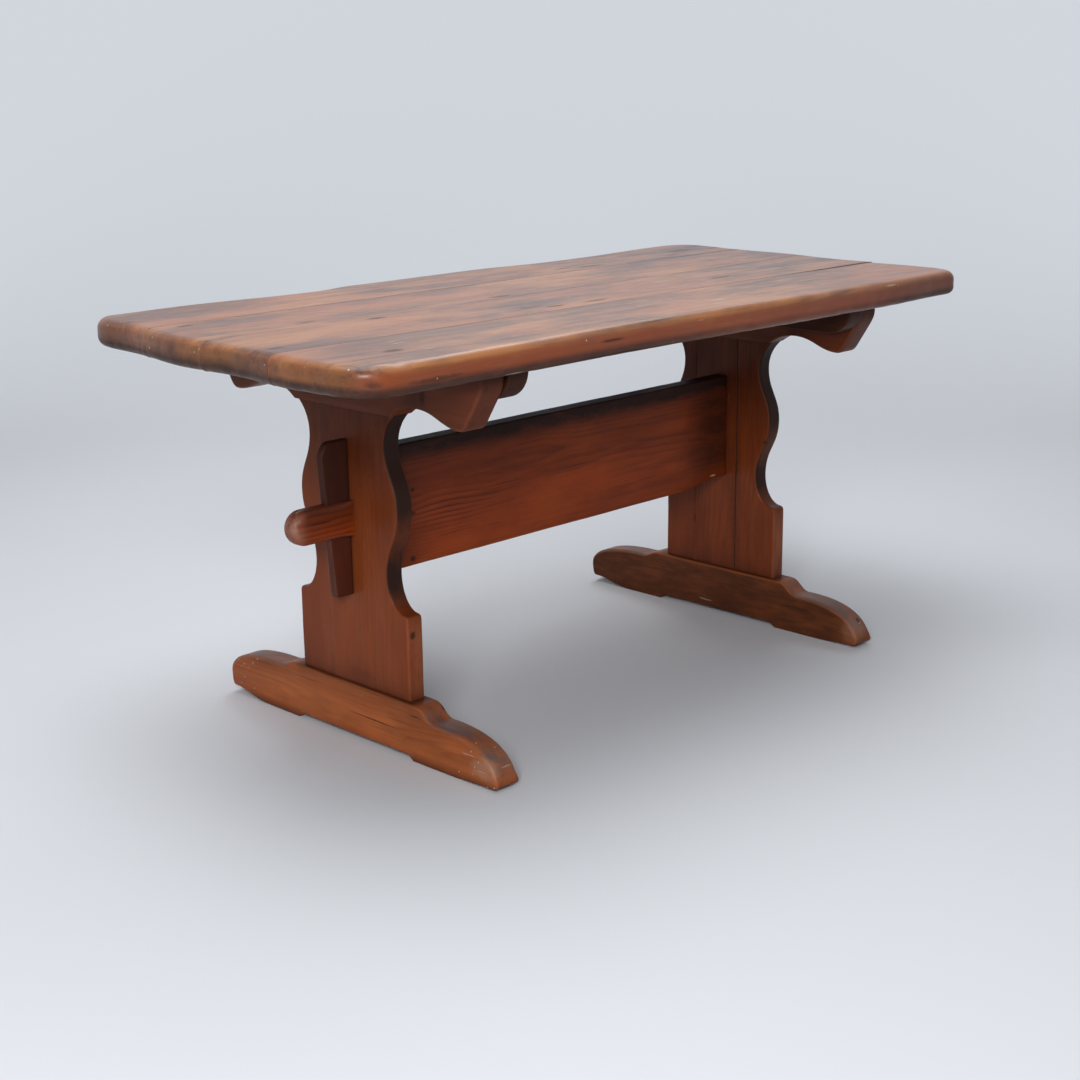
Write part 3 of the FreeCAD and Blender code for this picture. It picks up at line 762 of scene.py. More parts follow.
@dataclass(frozen=True)
class SteelFinish:
    """Dull, slightly rusty steel of old screws."""

    slot: str
    bright: Colour
    rust: Colour

    def material(self) -> bpy.types.Material:
        """Wire the finish and give its material.

        Returns:
            The material.
        """
        wires = Wiring(bpy.data.materials.new(self.slot))
        spot = wires.node("TexCoord", {}).outputs["Object"]
        stain = wires.step(wires.noise(spot, (260.0, 260.0, 260.0), detail=4.0), 0.42, 0.66)
        rough = wires.math("MULTIPLY_ADD", stain, 0.35, 0.38)
        metal = wires.math("SUBTRACT", 1.0, wires.math("MULTIPLY", stain, 0.7))
        bump = wires.node("Bump", {"Strength": 0.3, "Distance": 0.0003, "Height": stain})
        colour = wires.mix(stain, self.bright, self.rust)
        return wires.finish(Base_Color=colour, Roughness=rough, Metallic=metal, Normal=bump.outputs[0])


TOP_PINE = PineFinish(
    "top_pine", shade(0.345, 0.112, 0.033), shade(0.084, 0.028, 0.013), shade(0.26, 0.048, 0.007),
    ring_share=0.16, streak_share=0.28, patch_share=0.80, amber_share=0.95, rub_least=0.75, fibre_share=0.12,
    check_share=0.88, scratch_share=0.95, gloss=0.34, shine=0.25, varnish=0.40, relief=0.06,
    marks=(
        Mark((-0.449, -0.010, 0.74), (0.036, 0.013, 0.02)),
        Mark((-0.652, -0.288, 0.74), (0.031, 0.016, 0.02)),
        Mark((-0.711, 0.170, 0.74), (0.029, 0.009, 0.02)),
        Mark((-0.557, 0.047, 0.74), (0.036, 0.009, 0.02), 0.6),
        Mark((-0.757, -0.136, 0.74), (0.026, 0.011, 0.02), 0.7),
        Mark((-0.119, 0.031, 0.74), (0.048, 0.013, 0.02), 0.7),
        Mark((-0.049, -0.141, 0.74), (0.048, 0.011, 0.02), 0.8),
        Mark((-0.145, -0.137, 0.74), (0.036, 0.013, 0.02), 0.8),
        Mark((0.329, 0.226, 0.74), (0.060, 0.018, 0.02), 0.6),
        Mark((0.353, -0.101, 0.74), (0.060, 0.014, 0.02), 0.7),
        Mark((0.678, 0.279, 0.74), (0.072, 0.022, 0.02), 0.6),
        Mark((-0.80, 0.244, 0.715), (0.040, 0.0022, 0.024)),
        Mark((-0.80, 0.095, 0.715), (0.040, 0.0022, 0.024)),
        Mark((-0.80, -0.175, 0.715), (0.040, 0.0024, 0.026)),
        Mark((-0.80, 0.160, 0.705), (0.030, 0.016, 0.016), 0.6),
        Mark((-0.775, -0.385, 0.712), (0.035, 0.030, 0.012), 0.75),
        Mark((-0.660, -0.40, 0.708), (0.110, 0.030, 0.009), 0.7),
        Mark((-0.27, -0.39, 0.719), (0.050, 0.03, 0.004), 0.8),
        Mark((-0.803, -0.212, 0.727), (0.030, 0.030, 0.016), 1.0, Stain.AMBER),
        # Amber patch on the near corner's arris: partly worn, partly a painted highlight.
        Mark((-0.790, -0.335, 0.738), (0.050, 0.045, 0.014), 1.0, Stain.AMBER),
        Mark((-0.80, 0.222, 0.711), (0.030, 0.004, 0.006), 0.7, Stain.PALE),
        Mark((-0.396, 0.218, 0.74), (0.030, 0.004, 0.02), 0.5, Stain.PALE),
        Mark((0.234, -0.054, 0.74), (0.050, 0.005, 0.02), 0.4, Stain.PALE),
        Mark((0.103, -0.305, 0.74), (0.035, 0.010, 0.02), 0.35, Stain.PALE),
    ))
UPRIGHT_PINE = PineFinish(
    "upright_pine", shade(0.245, 0.050, 0.012), shade(0.085, 0.016, 0.005), shade(0.30, 0.085, 0.034),
    ring_share=0.14, streak_share=0.16, patch_share=0.30, check_share=0.97, gloss=0.34,
    marks=(
        Mark((-0.508, -0.146, 0.219), (0.010, 0.03, 0.013)),
        Mark((0.484, -0.119, 0.389), (0.03, 0.010, 0.008)),
        Mark((0.484, -0.128, 0.386), (0.03, 0.004, 0.003), 0.7, Stain.PALE),
        Mark((0.484, 0.066, 0.197), (0.03, 0.004, 0.020), 0.8),
        Mark((-0.52, -0.020, 0.120), (0.03, 0.090, 0.030), 0.35),
    ))
STRETCHER_PINE = PineFinish(
    "stretcher_pine", shade(0.300, 0.047, 0.006), shade(0.074, 0.010, 0.003), shade(0.34, 0.190, 0.140),
    ring_share=0.26, streak_share=0.26, patch_share=0.40, check_share=0.985, gloss=0.34,
    marks=(
        Mark((-0.387, -0.018, 0.431), (0.009, 0.02, 0.007)),
        Mark((-0.388, -0.018, 0.389), (0.012, 0.02, 0.006), 0.7),
        Mark((-0.392, -0.018, 0.306), (0.011, 0.02, 0.009)),
        Mark((-0.160, -0.018, 0.404), (0.085, 0.02, 0.0026), 0.6),
        Mark((0.050, -0.018, 0.405), (0.090, 0.02, 0.0024), 0.5),
        Mark((0.420, -0.018, 0.352), (0.060, 0.02, 0.0040), 0.6),
        Mark((0.440, -0.018, 0.312), (0.014, 0.02, 0.003), 0.7, Stain.PALE),
        Mark((-0.595, -0.018, 0.410), (0.060, 0.05, 0.0034), 0.9),
        Mark((0.595, 0.018, 0.406), (0.055, 0.05, 0.0020), 0.9),
    ))
# The grey worn colour on the toes is partly wear and dust, partly a painted sheen.
FOOT_PINE = PineFinish(
    "foot_pine", shade(0.430, 0.110, 0.030), shade(0.098, 0.023, 0.009), shade(0.130, 0.090, 0.078),
    ring_share=0.14, streak_share=0.20, patch_share=0.40, check_share=0.95, scratch_share=0.97, gloss=0.36,
    marks=(
        Mark((-0.528, -0.060, 0.050), (0.03, 0.110, 0.0022), 0.8),
        Mark((-0.528, 0.120, 0.082), (0.03, 0.060, 0.0018), 0.6),
        Mark((0.476, -0.098, 0.060), (0.03, 0.014, 0.010), 0.7),
        Mark((-0.528, -0.335, 0.035), (0.030, 0.050, 0.030), 0.20, Stain.PALE),
        Mark((-0.528, -0.300, 0.052), (0.010, 0.030, 0.0014), 0.60, Stain.PALE),
        Mark((-0.528, -0.330, 0.030), (0.010, 0.026, 0.0014), 0.60, Stain.PALE),
        Mark((-0.495, -0.358, 0.038), (0.020, 0.014, 0.0016), 0.45, Stain.PALE),
        Mark((0.490, -0.350, 0.035), (0.040, 0.040, 0.040), 0.10, Stain.PALE),
    ))
BEARER_PINE = PineFinish(
    "bearer_pine", shade(0.140, 0.032, 0.011), shade(0.045, 0.011, 0.004), shade(0.17, 0.068, 0.040),
    ring_share=0.16, streak_share=0.22, check_share=0.98,
    marks=(
        Mark((-0.528, -0.210, 0.640), (0.02, 0.012, 0.030), 0.75),
        Mark((-0.520, -0.373, 0.683), (0.02, 0.006, 0.004), 0.9, Stain.PALE),
    ))
WEDGE_PINE = PineFinish(
    "wedge_pine", shade(0.085, 0.018, 0.009), shade(0.032, 0.009, 0.006), shade(0.17, 0.075, 0.050),
    ring_share=0.20, streak_share=0.24, check_share=0.98, gloss=0.42)
PEG_WOOD = PineFinish(
    "peg_wood", shade(0.52, 0.35, 0.19), shade(0.36, 0.22, 0.11), shade(0.55, 0.40, 0.24),
    ring_share=0.25, check_share=0.99, gloss=0.60, crevice_shade=0.3)
SCREW_STEEL = SteelFinish("screw_steel", shade(0.46, 0.44, 0.41), shade(0.17, 0.075, 0.035))


class Dresser:
    """Turns meshes into pieces of the table, and keeps one material for each finish."""

    def __init__(self) -> None:
        """Start with no materials."""
        self.materials: dict[str, bpy.types.Material] = {}

    def material(self, finish: PineFinish | SteelFinish) -> bpy.types.Material:
        """The finish's material, which is wired the first time.

        Args:
            finish: The finish.

        Returns:
            The material.
        """
        if finish.slot not in self.materials:
            self.materials[finish.slot] = finish.material()
        return self.materials[finish.slot]

    def piece(self, name: str, mesh: bpy.types.Mesh, node: str, body: str,
              finish: PineFinish | SteelFinish) -> bpy.types.Object:
        """Make a piece that stands for a CAD node.

        Args:
            name: The piece's own name.
            mesh: Its mesh, in the CAD frame.
            node: CAD node that it stands for.
            body: CAD body that it moves with.
            finish: What it is finished with.

        Returns:
            The new object.
        """
        mesh.materials.clear()
        mesh.materials.append(self.material(finish))
        mesh.shade_smooth()
        mesh.set_sharp_from_angle(angle=SHARP_ANGLE)
        item = bpy.data.objects.new(name, mesh)
        bpy.context.scene.collection.objects.link(item)
        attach(item, body)
        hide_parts(node)
        LOG.info("%s: %d points, rides on %s", name, len(mesh.vertices), body)
        return item


@dataclass
class Cutter:
    """Tool that is cut out of a board: a straight hole of any outline."""

    ring: np.ndarray
    axis: Axis
    low: float
    high: float

    def mesh(self) -> bpy.types.Mesh:
        """Closed prism with the cutter's outline.

        Returns:
            The mesh.
        """
        count = len(self.ring)
        points = np.concatenate([self.axis.spatial(self.ring, level) for level in (self.high, self.low)])
        faces = [tuple(range(count)), tuple(range(2 * count - 1, count - 1, -1))]
        faces += [
            (here, here + count, (here + 1) % count + count, (here + 1) % count) for here in range(count)]
        made = bpy.data.meshes.new("cutter")
        made.from_pydata(points.tolist(), [], faces)
        return made

    @staticmethod
    def round_hole(centre: tuple[float, float], radius: float, low: float, high: float) -> "Cutter":
        """Upright round hole.

        Args:
            centre: Its x and y.
            radius: Its radius.
            low: Its bottom.
            high: Its top.

        Returns:
            The cutter.
        """
        turns = np.linspace(0.0, 2 * math.pi, HOLE_STEPS + 1)[:-1]
        ring = np.column_stack((centre[0] + radius * np.cos(turns), centre[1] + radius * np.sin(turns)))
        return Cutter(ring, Axis.Z, low, high)


def cut_from(mesh: bpy.types.Mesh, cutters: list[Cutter]) -> bpy.types.Mesh:
    """Cut tools out of a mesh.

    Args:
        mesh: Closed mesh.
        cutters: What to cut out of it, one after another.

    Returns:
        The mesh that is left.
    """
    if not cutters:
        return mesh
    board = bpy.data.objects.new("board", mesh)
    bpy.context.scene.collection.objects.link(board)
    tools = []
    for cutter in cutters:
        tool = bpy.data.objects.new("tool", cutter.mesh())
        bpy.context.scene.collection.objects.link(tool)
        difference = board.modifiers.new("cut", "BOOLEAN")
        difference.operation = "DIFFERENCE"
        difference.solver = "EXACT"
        difference.object = tool
        tools.append(tool)
    shown = board.evaluated_get(bpy.context.evaluated_depsgraph_get())
    left = bpy.data.meshes.new_from_object(shown)
    for item in [board, *tools]:
        bpy.data.objects.remove(item)
    return left


@dataclass
class Plank:
    """Worn board that stands for one CAD node. Kinds of board set their own arrises, hollows and marks."""

    node: str
    body: str
    finish: PineFinish
    axis: Axis
    grain: Axis
    seed: float
    tone: float = 0.0
    pith: tuple[float, float] = (0.02, -0.09)
    section_share: float = 0.58
    spacing: float = 0.006
    cap_spacing: float = 0.012
    row_spacing: float = 0.012
    fine_spacing: float = 0.001
    blunt_reach: float = 0.0
    cutters: list[Cutter] = field(default_factory=list)

    def __post_init__(self) -> None:
        """Read where the CAD node is."""
        low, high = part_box(self.node)
        self.low, self.high = np.array(low), np.array(high)
        self.middle = (self.low + self.high) / 2

    def radius(self, spots: np.ndarray, upper: bool) -> np.ndarray:
        """Radius of the arris at the middle of each edge of the outline.

        Args:
            spots: Places in the CAD frame, in the middle of the board's thickness.
            upper: Whether the arris is on the face along the axis.

        Returns:
            One radius for each place.
        """
        return np.full(len(spots), 0.004)

    def hollows(self, points: np.ndarray) -> np.ndarray:
        """How far each point sinks into the wood, in metres."""
        broad, fine = wobble(points, (9.0,) * 3, self.seed), wobble(points, (24.0,) * 3, self.seed + 7.0)
        return 0.0004 * (1.0 + broad + fine / 2)

    def wear(self, points: np.ndarray, normals: np.ndarray, arris: np.ndarray) -> np.ndarray:
        """How worn each point is.

        Args:
            points: Places in the CAD frame.
            normals: The way the surface looks there.
            arris: How far each is into a worn arris.

        Returns:
            Numbers from 0 to 1.
        """
        return 0.3 * np.clip(arris, 0.0, 1.0)

    def grime_and_shade(self, points: np.ndarray, normals: np.ndarray) -> np.ndarray:
        """How grimy each point is, and how much painted shade darkens it.

        Args:
            points: Places in the CAD frame.
            normals: The way the surface looks there.

        Returns:
            Numbers from 0 to 1.
        """
        return np.zeros(len(points))

    def scuff(self, points: np.ndarray, arris: np.ndarray) -> np.ndarray:
        """How scuffed each point is.

        Args:
            points: Places in the CAD frame.
            arris: How far each is into a worn arris.

        Returns:
            Numbers from 0 to 1.
        """
        return 0.03 * arris

    def toned(self, points: np.ndarray) -> np.ndarray:
        """How much deeper than the finish's own each point's stain is."""
        return np.full(len(points), self.tone)

    def figured(self, points: np.ndarray) -> np.ndarray:
        """How much stronger than elsewhere the growth rings show at each point, from 0 to 1."""
        return np.zeros(len(points))

    def blunted(self, spots: np.ndarray) -> np.ndarray:
        """How much of the rounding of its corners each point of the outline takes, from 0 to 1."""
        return np.zeros(len(spots))

    def outline(self) -> list[np.ndarray]:
        """Rings of the board's outline, the outer one first, with the blunted corners rounded.

        Returns:
            The rings, each of flat points.
        """
        half = (self.high - self.low)[self.axis.value] / 2
        level = self.middle[self.axis.value] + half * self.section_share
        if self.blunt_reach == 0:
            return Section(self.node, self.axis, level, self.spacing).rings
        rings = Section(self.node, self.axis, level, self.fine_spacing).rings
        shares = [self.blunted(self.axis.spatial(ring, level)) for ring in rings]
        soft = [Section.softened(ring, self.blunt_reach, share) for ring, share in zip(rings, shares)]
        return [Section.spaced(ring, self.spacing) for ring in soft]

    def lofted(self) -> Loft:
        """Loft the board from its outline.

        Returns:
            The loft, with its walls and its two faces.
        """
        part = Loft(self.axis, self.low[self.axis.value], self.high[self.axis.value])
        rings = self.outline()
        ends = {True: ([], []), False: ([], [])}
        for ring in rings:
            spots = self.axis.spatial((ring + np.roll(ring, -1, axis=0)) / 2, self.middle[self.axis.value])
            radii = {upper: self.radius(spots, upper) for upper in (True, False)}
            starts = part.wall(ring, radii[True], radii[False], self.row_spacing)
            for upper, start in zip((True, False), starts):
                ends[upper][0].append(start)
                ends[upper][1].append(part.inset(ring, part.rounding(radii[upper], 0.0)))
        part.cap(*ends[True], self.cap_spacing, part.high, True)
        part.cap(*ends[False], self.cap_spacing, part.low, False)
        return part

    def build(self, dresser: Dresser) -> bpy.types.Object:
        """Build the board and dress it.

        Args:
            dresser: What turns meshes into pieces.

        Returns:
            The new object.
        """
        part = self.lofted()
        points = np.concatenate(part.points)
        arris = np.concatenate(part.arris)
        mesh = bpy.data.meshes.new(self.node + "_worn")
        mesh.from_pydata(points.tolist(), [], part.faces)
        normals = self.normals_of(mesh)
        points = points - normals * self.hollows(points)[:, None]
        mesh.vertices.foreach_set("co", points.astype(np.float32).ravel())
        mesh = cut_from(mesh, self.cutters)
        self.mark(mesh, points, arris)
        return dresser.piece(self.node + "_worn", mesh, self.node, self.body, self.finish)

    @staticmethod
    def normals_of(mesh: bpy.types.Mesh) -> np.ndarray:
        """The way the surface looks at each point of a mesh.

        Args:
            mesh: The mesh.

        Returns:
            One unit vector for each point.
        """
        normals = np.empty(len(mesh.vertices) * 3, np.float32)
        mesh.vertices.foreach_get("normal", normals)
        return normals.reshape(-1, 3).astype(float)

    def mark(self, mesh: bpy.types.Mesh, sources: np.ndarray, arris: np.ndarray) -> None:
        """Write grain, marks and cut at the points of the finished mesh.

        Args:
            mesh: The mesh, whose points may differ from the loft's where something was cut out.
            sources: The loft's own points.
            arris: How far each of these is into a worn arris.
        """
        tree = kdtree.KDTree(len(sources))
        for index, place in enumerate(sources):
            tree.insert(place, index)
        tree.balance()
        nearest = np.array([tree.find(vertex.co)[1] for vertex in mesh.vertices])
        points = np.array([vertex.co for vertex in mesh.vertices])
        normals = self.normals_of(mesh)
        wear = self.wear(points, normals, arris[nearest])
        marks = (wear, self.grime_and_shade(points, normals), self.scuff(points, arris[nearest]))
        end = step(0.55, 0.90, np.abs(normals[:, self.grain.value]))
        cut = (end, self.toned(points), self.figured(points))
        across, into = self.grain.plane
        if into != self.axis.value:
            across, into = into, across
        grain = (
            points[:, self.grain.value] + self.seed,
            points[:, across] - self.middle[across] - self.pith[0],
            points[:, into] - self.middle[into] - self.pith[1])
        for name, columns in (("grain", grain), ("marks", marks), ("cut", cut)):
            values = np.column_stack(columns).astype(np.float32)
            mesh.attributes.new(name, "FLOAT_VECTOR", "POINT").data.foreach_set("vector", values.ravel())


@dataclass
class TopBoard(Plank):
    """Plank of the top, with a bullnosed outer edge that use has worn unevenly."""

    edge_radius: float = 0.020
    under_radius: float = 0.016
    seam_radius: float = 0.0004
    seams: tuple[float, ...] = ()
    dip: float = 0.0
    far_dip: float = 0.0

    def radius(self, spots: np.ndarray, upper: bool) -> np.ndarray:
        """Radius of the arris: small at seams, large and uneven on the outer edge.

        Args:
            spots: Places in the CAD frame, in the middle of the board's thickness.
            upper: Whether the arris is on the face along the axis.

        Returns:
            One radius for each place.
        """
        uneven = wobble(spots, (4.0, 6.0, 0.0), 3.0)
        along, front = spots[:, 0], step(-0.30, -0.36, spots[:, 1])
        rubbed = 0.007 * np.exp(-((along + 0.33) / 0.20) ** 2) - 0.005 * np.exp(-((along - 0.20) / 0.16) ** 2)
        outer = (self.edge_radius if upper else self.under_radius) + 0.003 * uneven
        outer = outer + (front * rubbed if upper else 0.0)
        at_seam = np.any([np.abs(spots[:, 1] - seam) < ON_LINE for seam in self.seams], axis=0)
        return np.where(at_seam, self.seam_radius, outer)

    def hollows(self, points: np.ndarray) -> np.ndarray:
        """How far each point sinks: broad hollows of the face, and dents along the edge.

        Args:
            points: Places in the CAD frame.

        Returns:
            Depths in metres.
        """
        broad = wobble(points, (3.0, 8.0, 0.0), 11.0) + 0.5 * wobble(points, (7.0, 21.0, 0.0), 12.0)
        near_seam = np.any([np.abs(points[:, 1] - seam) < 0.003 for seam in self.seams], axis=0)
        dents = np.clip(wobble(points, (30.0, 38.0, 38.0), 17.0), 0.0, 1.0)
        corner = np.exp(-np.sum((points[:, :2] - (-0.79, -0.39)) ** 2, axis=1) / 0.07 ** 2)
        edge = step(-0.355, -0.39, points[:, 1]) + step(0.775, 0.80, np.abs(points[:, 0]))
        sunk = 0.0007 * (1.0 + np.clip(broad, -1.0, 1.0)) + self.dip
        sunk += dents * (0.0030 * corner + 0.0012 * np.clip(edge, 0.0, 1.0))
        sunk += self.far_dip * step(0.30, 0.75, points[:, 0])
        return np.where(near_seam & (points[:, 2] < self.high[2] - 0.001), 0.0, sunk)

    def wear(self, points: np.ndarray, normals: np.ndarray, arris: np.ndarray) -> np.ndarray:
        """Wear of the front edge below its upper arris, which use has rubbed red."""
        below = step(self.high[2] - 0.007, self.high[2] - 0.017, points[:, 2])
        return below * step(-0.35, -0.80, normals[:, 1])

    def grime_and_shade(self, points: np.ndarray, normals: np.ndarray) -> np.ndarray:
        """Darker on the edge, mostly its lower half, on the ends and on the underside.

        Args:
            points: Places in the CAD frame.
            normals: The way the surface looks there.

        Returns:
            Numbers from 0 to 1.
        """
        below = step(self.middle[2] - 0.002, self.middle[2] - 0.014, points[:, 2])
        front = step(-0.3, -0.8, normals[:, 1]) * (0.06 + 0.50 * step(0.30, 0.65, points[:, 0]))
        end = step(0.5, 0.9, np.abs(normals[:, 0])) * (1.0 + wobble(points, (0.0, 11.0, 14.0), 5.0))
        dark_half = 0.45 + 0.45 * step(0.20, -0.25, points[:, 0])
        return np.clip(below * dark_half + 0.32 * end + front, 0.0, 1.0)

    def toned(self, points: np.ndarray) -> np.ndarray:
        """How much deeper than the finish's own the stain is: more to the right, less on the front arris,
        partly as a painted highlight.

        Args:
            points: Places in the CAD frame.

        Returns:
            One number for each point, below 0 where the stain is thinner.
        """
        front = step(-0.372, -0.388, points[:, 1])
        # The upper front arris is lighter, partly thinner stain and partly a painted highlight.
        arris = front * step(self.high[2] - 0.018, self.high[2] - 0.010, points[:, 2])
        return self.tone + 0.03 + 0.22 * step(-0.1, 0.6, points[:, 0]) - 0.35 * arris

    def scuff(self, points: np.ndarray, arris: np.ndarray) -> np.ndarray:
        """Scuffs, mostly along the outer edge."""
        return 0.015 + 0.10 * arris


@dataclass
class Batten(Plank):
    """Batten that holds the planks of the top together from below."""

    def grime_and_shade(self, points: np.ndarray, normals: np.ndarray) -> np.ndarray:
        """Dark all over: painted shade under the top."""
        return np.full(len(points), 0.75)


@dataclass
class UprightBoard(Plank):
    """Board of a trestle's upright, scroll-cut on its outer edge."""

    scroll_radius: float = 0.0055
    joint_radius: float = 0.0009
    seams: tuple[float, ...] = ()
    seam_radii: tuple[float, ...] = ()
    foot_level: float = 0.103
    seat_level: float = 0.597

    def radius(self, spots: np.ndarray, upper: bool) -> np.ndarray:
        """Radius of the arris: small at joints, soft on the scroll.

        Args:
            spots: Places in the CAD frame, in the middle of the board's thickness.
            upper: Whether the arris is on the face along the axis.

        Returns:
            One radius for each place.
        """
        joint = (spots[:, 2] < self.foot_level + ON_LINE) | (spots[:, 2] > self.seat_level - ON_LINE)
        hole = (np.abs(spots[:, 1]) < 0.025) & (np.abs(spots[:, 2] - 0.405) < 0.040)
        soft = self.scroll_radius + 0.0015 * wobble(spots, (0.0, 9.0, 9.0), self.seed)
        radii = np.where(joint | hole, self.joint_radius, soft)
        for seam, radius in zip(self.seams, self.seam_radii):
            radii = np.where(np.abs(spots[:, 1] - seam) < ON_LINE, radius, radii)
        return radii

    def wear(self, points: np.ndarray, normals: np.ndarray, arris: np.ndarray) -> np.ndarray:
        """Wear of the arrises, and of the straight edges near the foot."""
        straight = step(0.35, 0.7, np.abs(normals[:, 1])) * step(0.28, 0.20, points[:, 2])
        return np.clip(0.3 * arris + 0.9 * straight, 0.0, 1.0)

    def hollows(self, points: np.ndarray) -> np.ndarray:
        """How far each point sinks: nowhere near the glued joints, and alike on either side of a joint.

        Args:
            points: Places in the CAD frame.

        Returns:
            Depths in metres.
        """
        waves = wobble(points, (9.0, 9.0, 9.0), 3.0) + wobble(points, (24.0, 24.0, 24.0), 10.0) / 2
        sunk = 0.0004 * (1.0 + waves)
        for seam in self.seams:
            sunk = sunk * step(0.0, 0.012, np.abs(points[:, 1] - seam))
        return sunk

    def grime_and_shade(self, points: np.ndarray, normals: np.ndarray) -> np.ndarray:
        """Painted shade at the foot, under the bearer, by the tenon and wedge, on the scroll edges; dark
        joints.

        Args:
            points: Places in the CAD frame.
            normals: The way the surface looks there.

        Returns:
            Numbers from 0 to 1.4, where anything above 1 stays dark on clean streaks.
        """
        # Painted shade just above the joint with the foot.
        foot = 0.55 * np.exp(-(points[:, 2] - self.foot_level) / 0.030)
        # Painted shade under the bearer and the top.
        seat = np.minimum(0.72, 1.3 * np.exp(-(self.seat_level - points[:, 2]) / 0.15))
        # Painted shade beside the tenon and the wedge.
        wedge = 0.35 * np.exp(-(((points[:, 1] + 0.022) / 0.022) ** 2)) * step(0.20, 0.30, points[:, 2])
        # Scroll edges that face front or back get painted shade above the block, less on the bulge.
        bulge = np.exp(-((points[:, 2] - 0.385) / 0.055) ** 2)
        edge = (1.4 - 0.65 * bulge) * step(0.35, 0.7, np.abs(normals[:, 1])) * step(0.22, 0.32, points[:, 2])
        seam = np.zeros(len(points))
        for place, radius in zip(self.seams, self.seam_radii):
            seam = np.maximum(seam, radius / 0.0020 * np.exp(-np.abs(points[:, 1] - place) / 0.003))
        return np.clip(np.maximum.reduce([foot, seat, wedge, edge, seam]), 0.0, 1.4)


@dataclass
class Bearer(Plank):
    """Bearer across the top of a trestle, with pointed ends."""

    scroll_radius: float = 0.0065
    joint_radius: float = 0.0010
    seat_level: float = 0.597

    def blunted(self, spots: np.ndarray) -> np.ndarray:
        """Rounding of the pointed tips only."""
        return step(0.24, 0.27, np.abs(spots[:, 1])) * step(0.670, 0.655, spots[:, 2])

    def radius(self, spots: np.ndarray, upper: bool) -> np.ndarray:
        """Radius of the arris: small under the top and on the seat, soft elsewhere."""
        joint = (spots[:, 2] > self.high[2] - ON_LINE) | (np.abs(spots[:, 2] - self.seat_level) < ON_LINE)
        return np.where(joint, self.joint_radius, self.scroll_radius)

    def grime_and_shade(self, points: np.ndarray, normals: np.ndarray) -> np.ndarray:
        """Painted shade near the top, under the table top, and in the arches.

        Args:
            points: Places in the CAD frame.
            normals: The way the surface looks there.

        Returns:
            Numbers from 0 to 1.
        """
        # Painted shade under the table top, and in the arches.
        high = 0.6 * step(0.645, 0.690, points[:, 2])
        arch_shade = 0.5 * np.exp(-((np.abs(points[:, 1]) - 0.19) / 0.03) ** 2)
        return np.clip(np.maximum(high, arch_shade), 0.0, 1.0)


@dataclass
class Foot(Plank):
    """Foot of a trestle, grey on its toes' upper side from wear and a painted sheen, and scuffed at its toes.
    """

    pad_radius: float = 0.0055
    toe_radius: float = 0.0095
    sole_radius: float = 0.0030
    # How much darker the sides are.
    darkened: float = 0.0

    def radius(self, spots: np.ndarray, upper: bool) -> np.ndarray:
        """Radius of the arris, which grows from the pad to the toes and is small on the sole.

        Args:
            spots: Places in the CAD frame, in the middle of the board's thickness.
            upper: Whether the arris is on the face along the axis.

        Returns:
            One radius for each place.
        """
        reach = np.abs(spots[:, 1])
        soft = self.pad_radius + (self.toe_radius - self.pad_radius) * step(0.17, 0.30, reach)
        return self.sole_radius + (soft - self.sole_radius) * step(0.012, 0.030, spots[:, 2])

    def wear(self, points: np.ndarray, normals: np.ndarray, arris: np.ndarray) -> np.ndarray:
        """Wear of the whole upper side of the toes, whose grey also stands for a painted sheen."""
        above = step(0.15, 0.75, normals[:, 2]) * step(0.15, 0.20, np.abs(points[:, 1]))
        return np.clip(0.95 * above, 0.0, 1.0)

    def grime_and_shade(self, points: np.ndarray, normals: np.ndarray) -> np.ndarray:
        """Darker at the floor and high on the sides; painted shade round the upright; sides darkened as set.

        Args:
            points: Places in the CAD frame.
            normals: The way the surface looks there.

        Returns:
            Numbers from 0 to 1.
        """
        floor = 0.8 * step(0.018, 0.0, points[:, 2])
        inner = step(0.175, 0.150, np.abs(points[:, 1]))
        on_pad, below_pad = step(0.100, 0.103, points[:, 2]), step(0.075, 0.103, points[:, 2])
        # Painted shade round the foot of the upright.
        pad = np.maximum(0.9 * on_pad, 0.5 * below_pad) * inner
        upright = step(0.6, 0.2, normals[:, 2])
        high = 0.34 * upright * step(0.045, 0.090, points[:, 2])
        darker_sides = self.darkened * upright * (1.0 - 0.35 * step(-0.30, -0.36, points[:, 1]))
        return np.clip(np.maximum.reduce([floor, pad, high, darker_sides]), 0.0, 1.0)

    def scuff(self, points: np.ndarray, arris: np.ndarray) -> np.ndarray:
        """Scuffs that grow towards the toes."""
        toe = step(0.22, 0.36, np.abs(points[:, 1]))
        return 0.03 + 0.32 * toe + 0.10 * arris


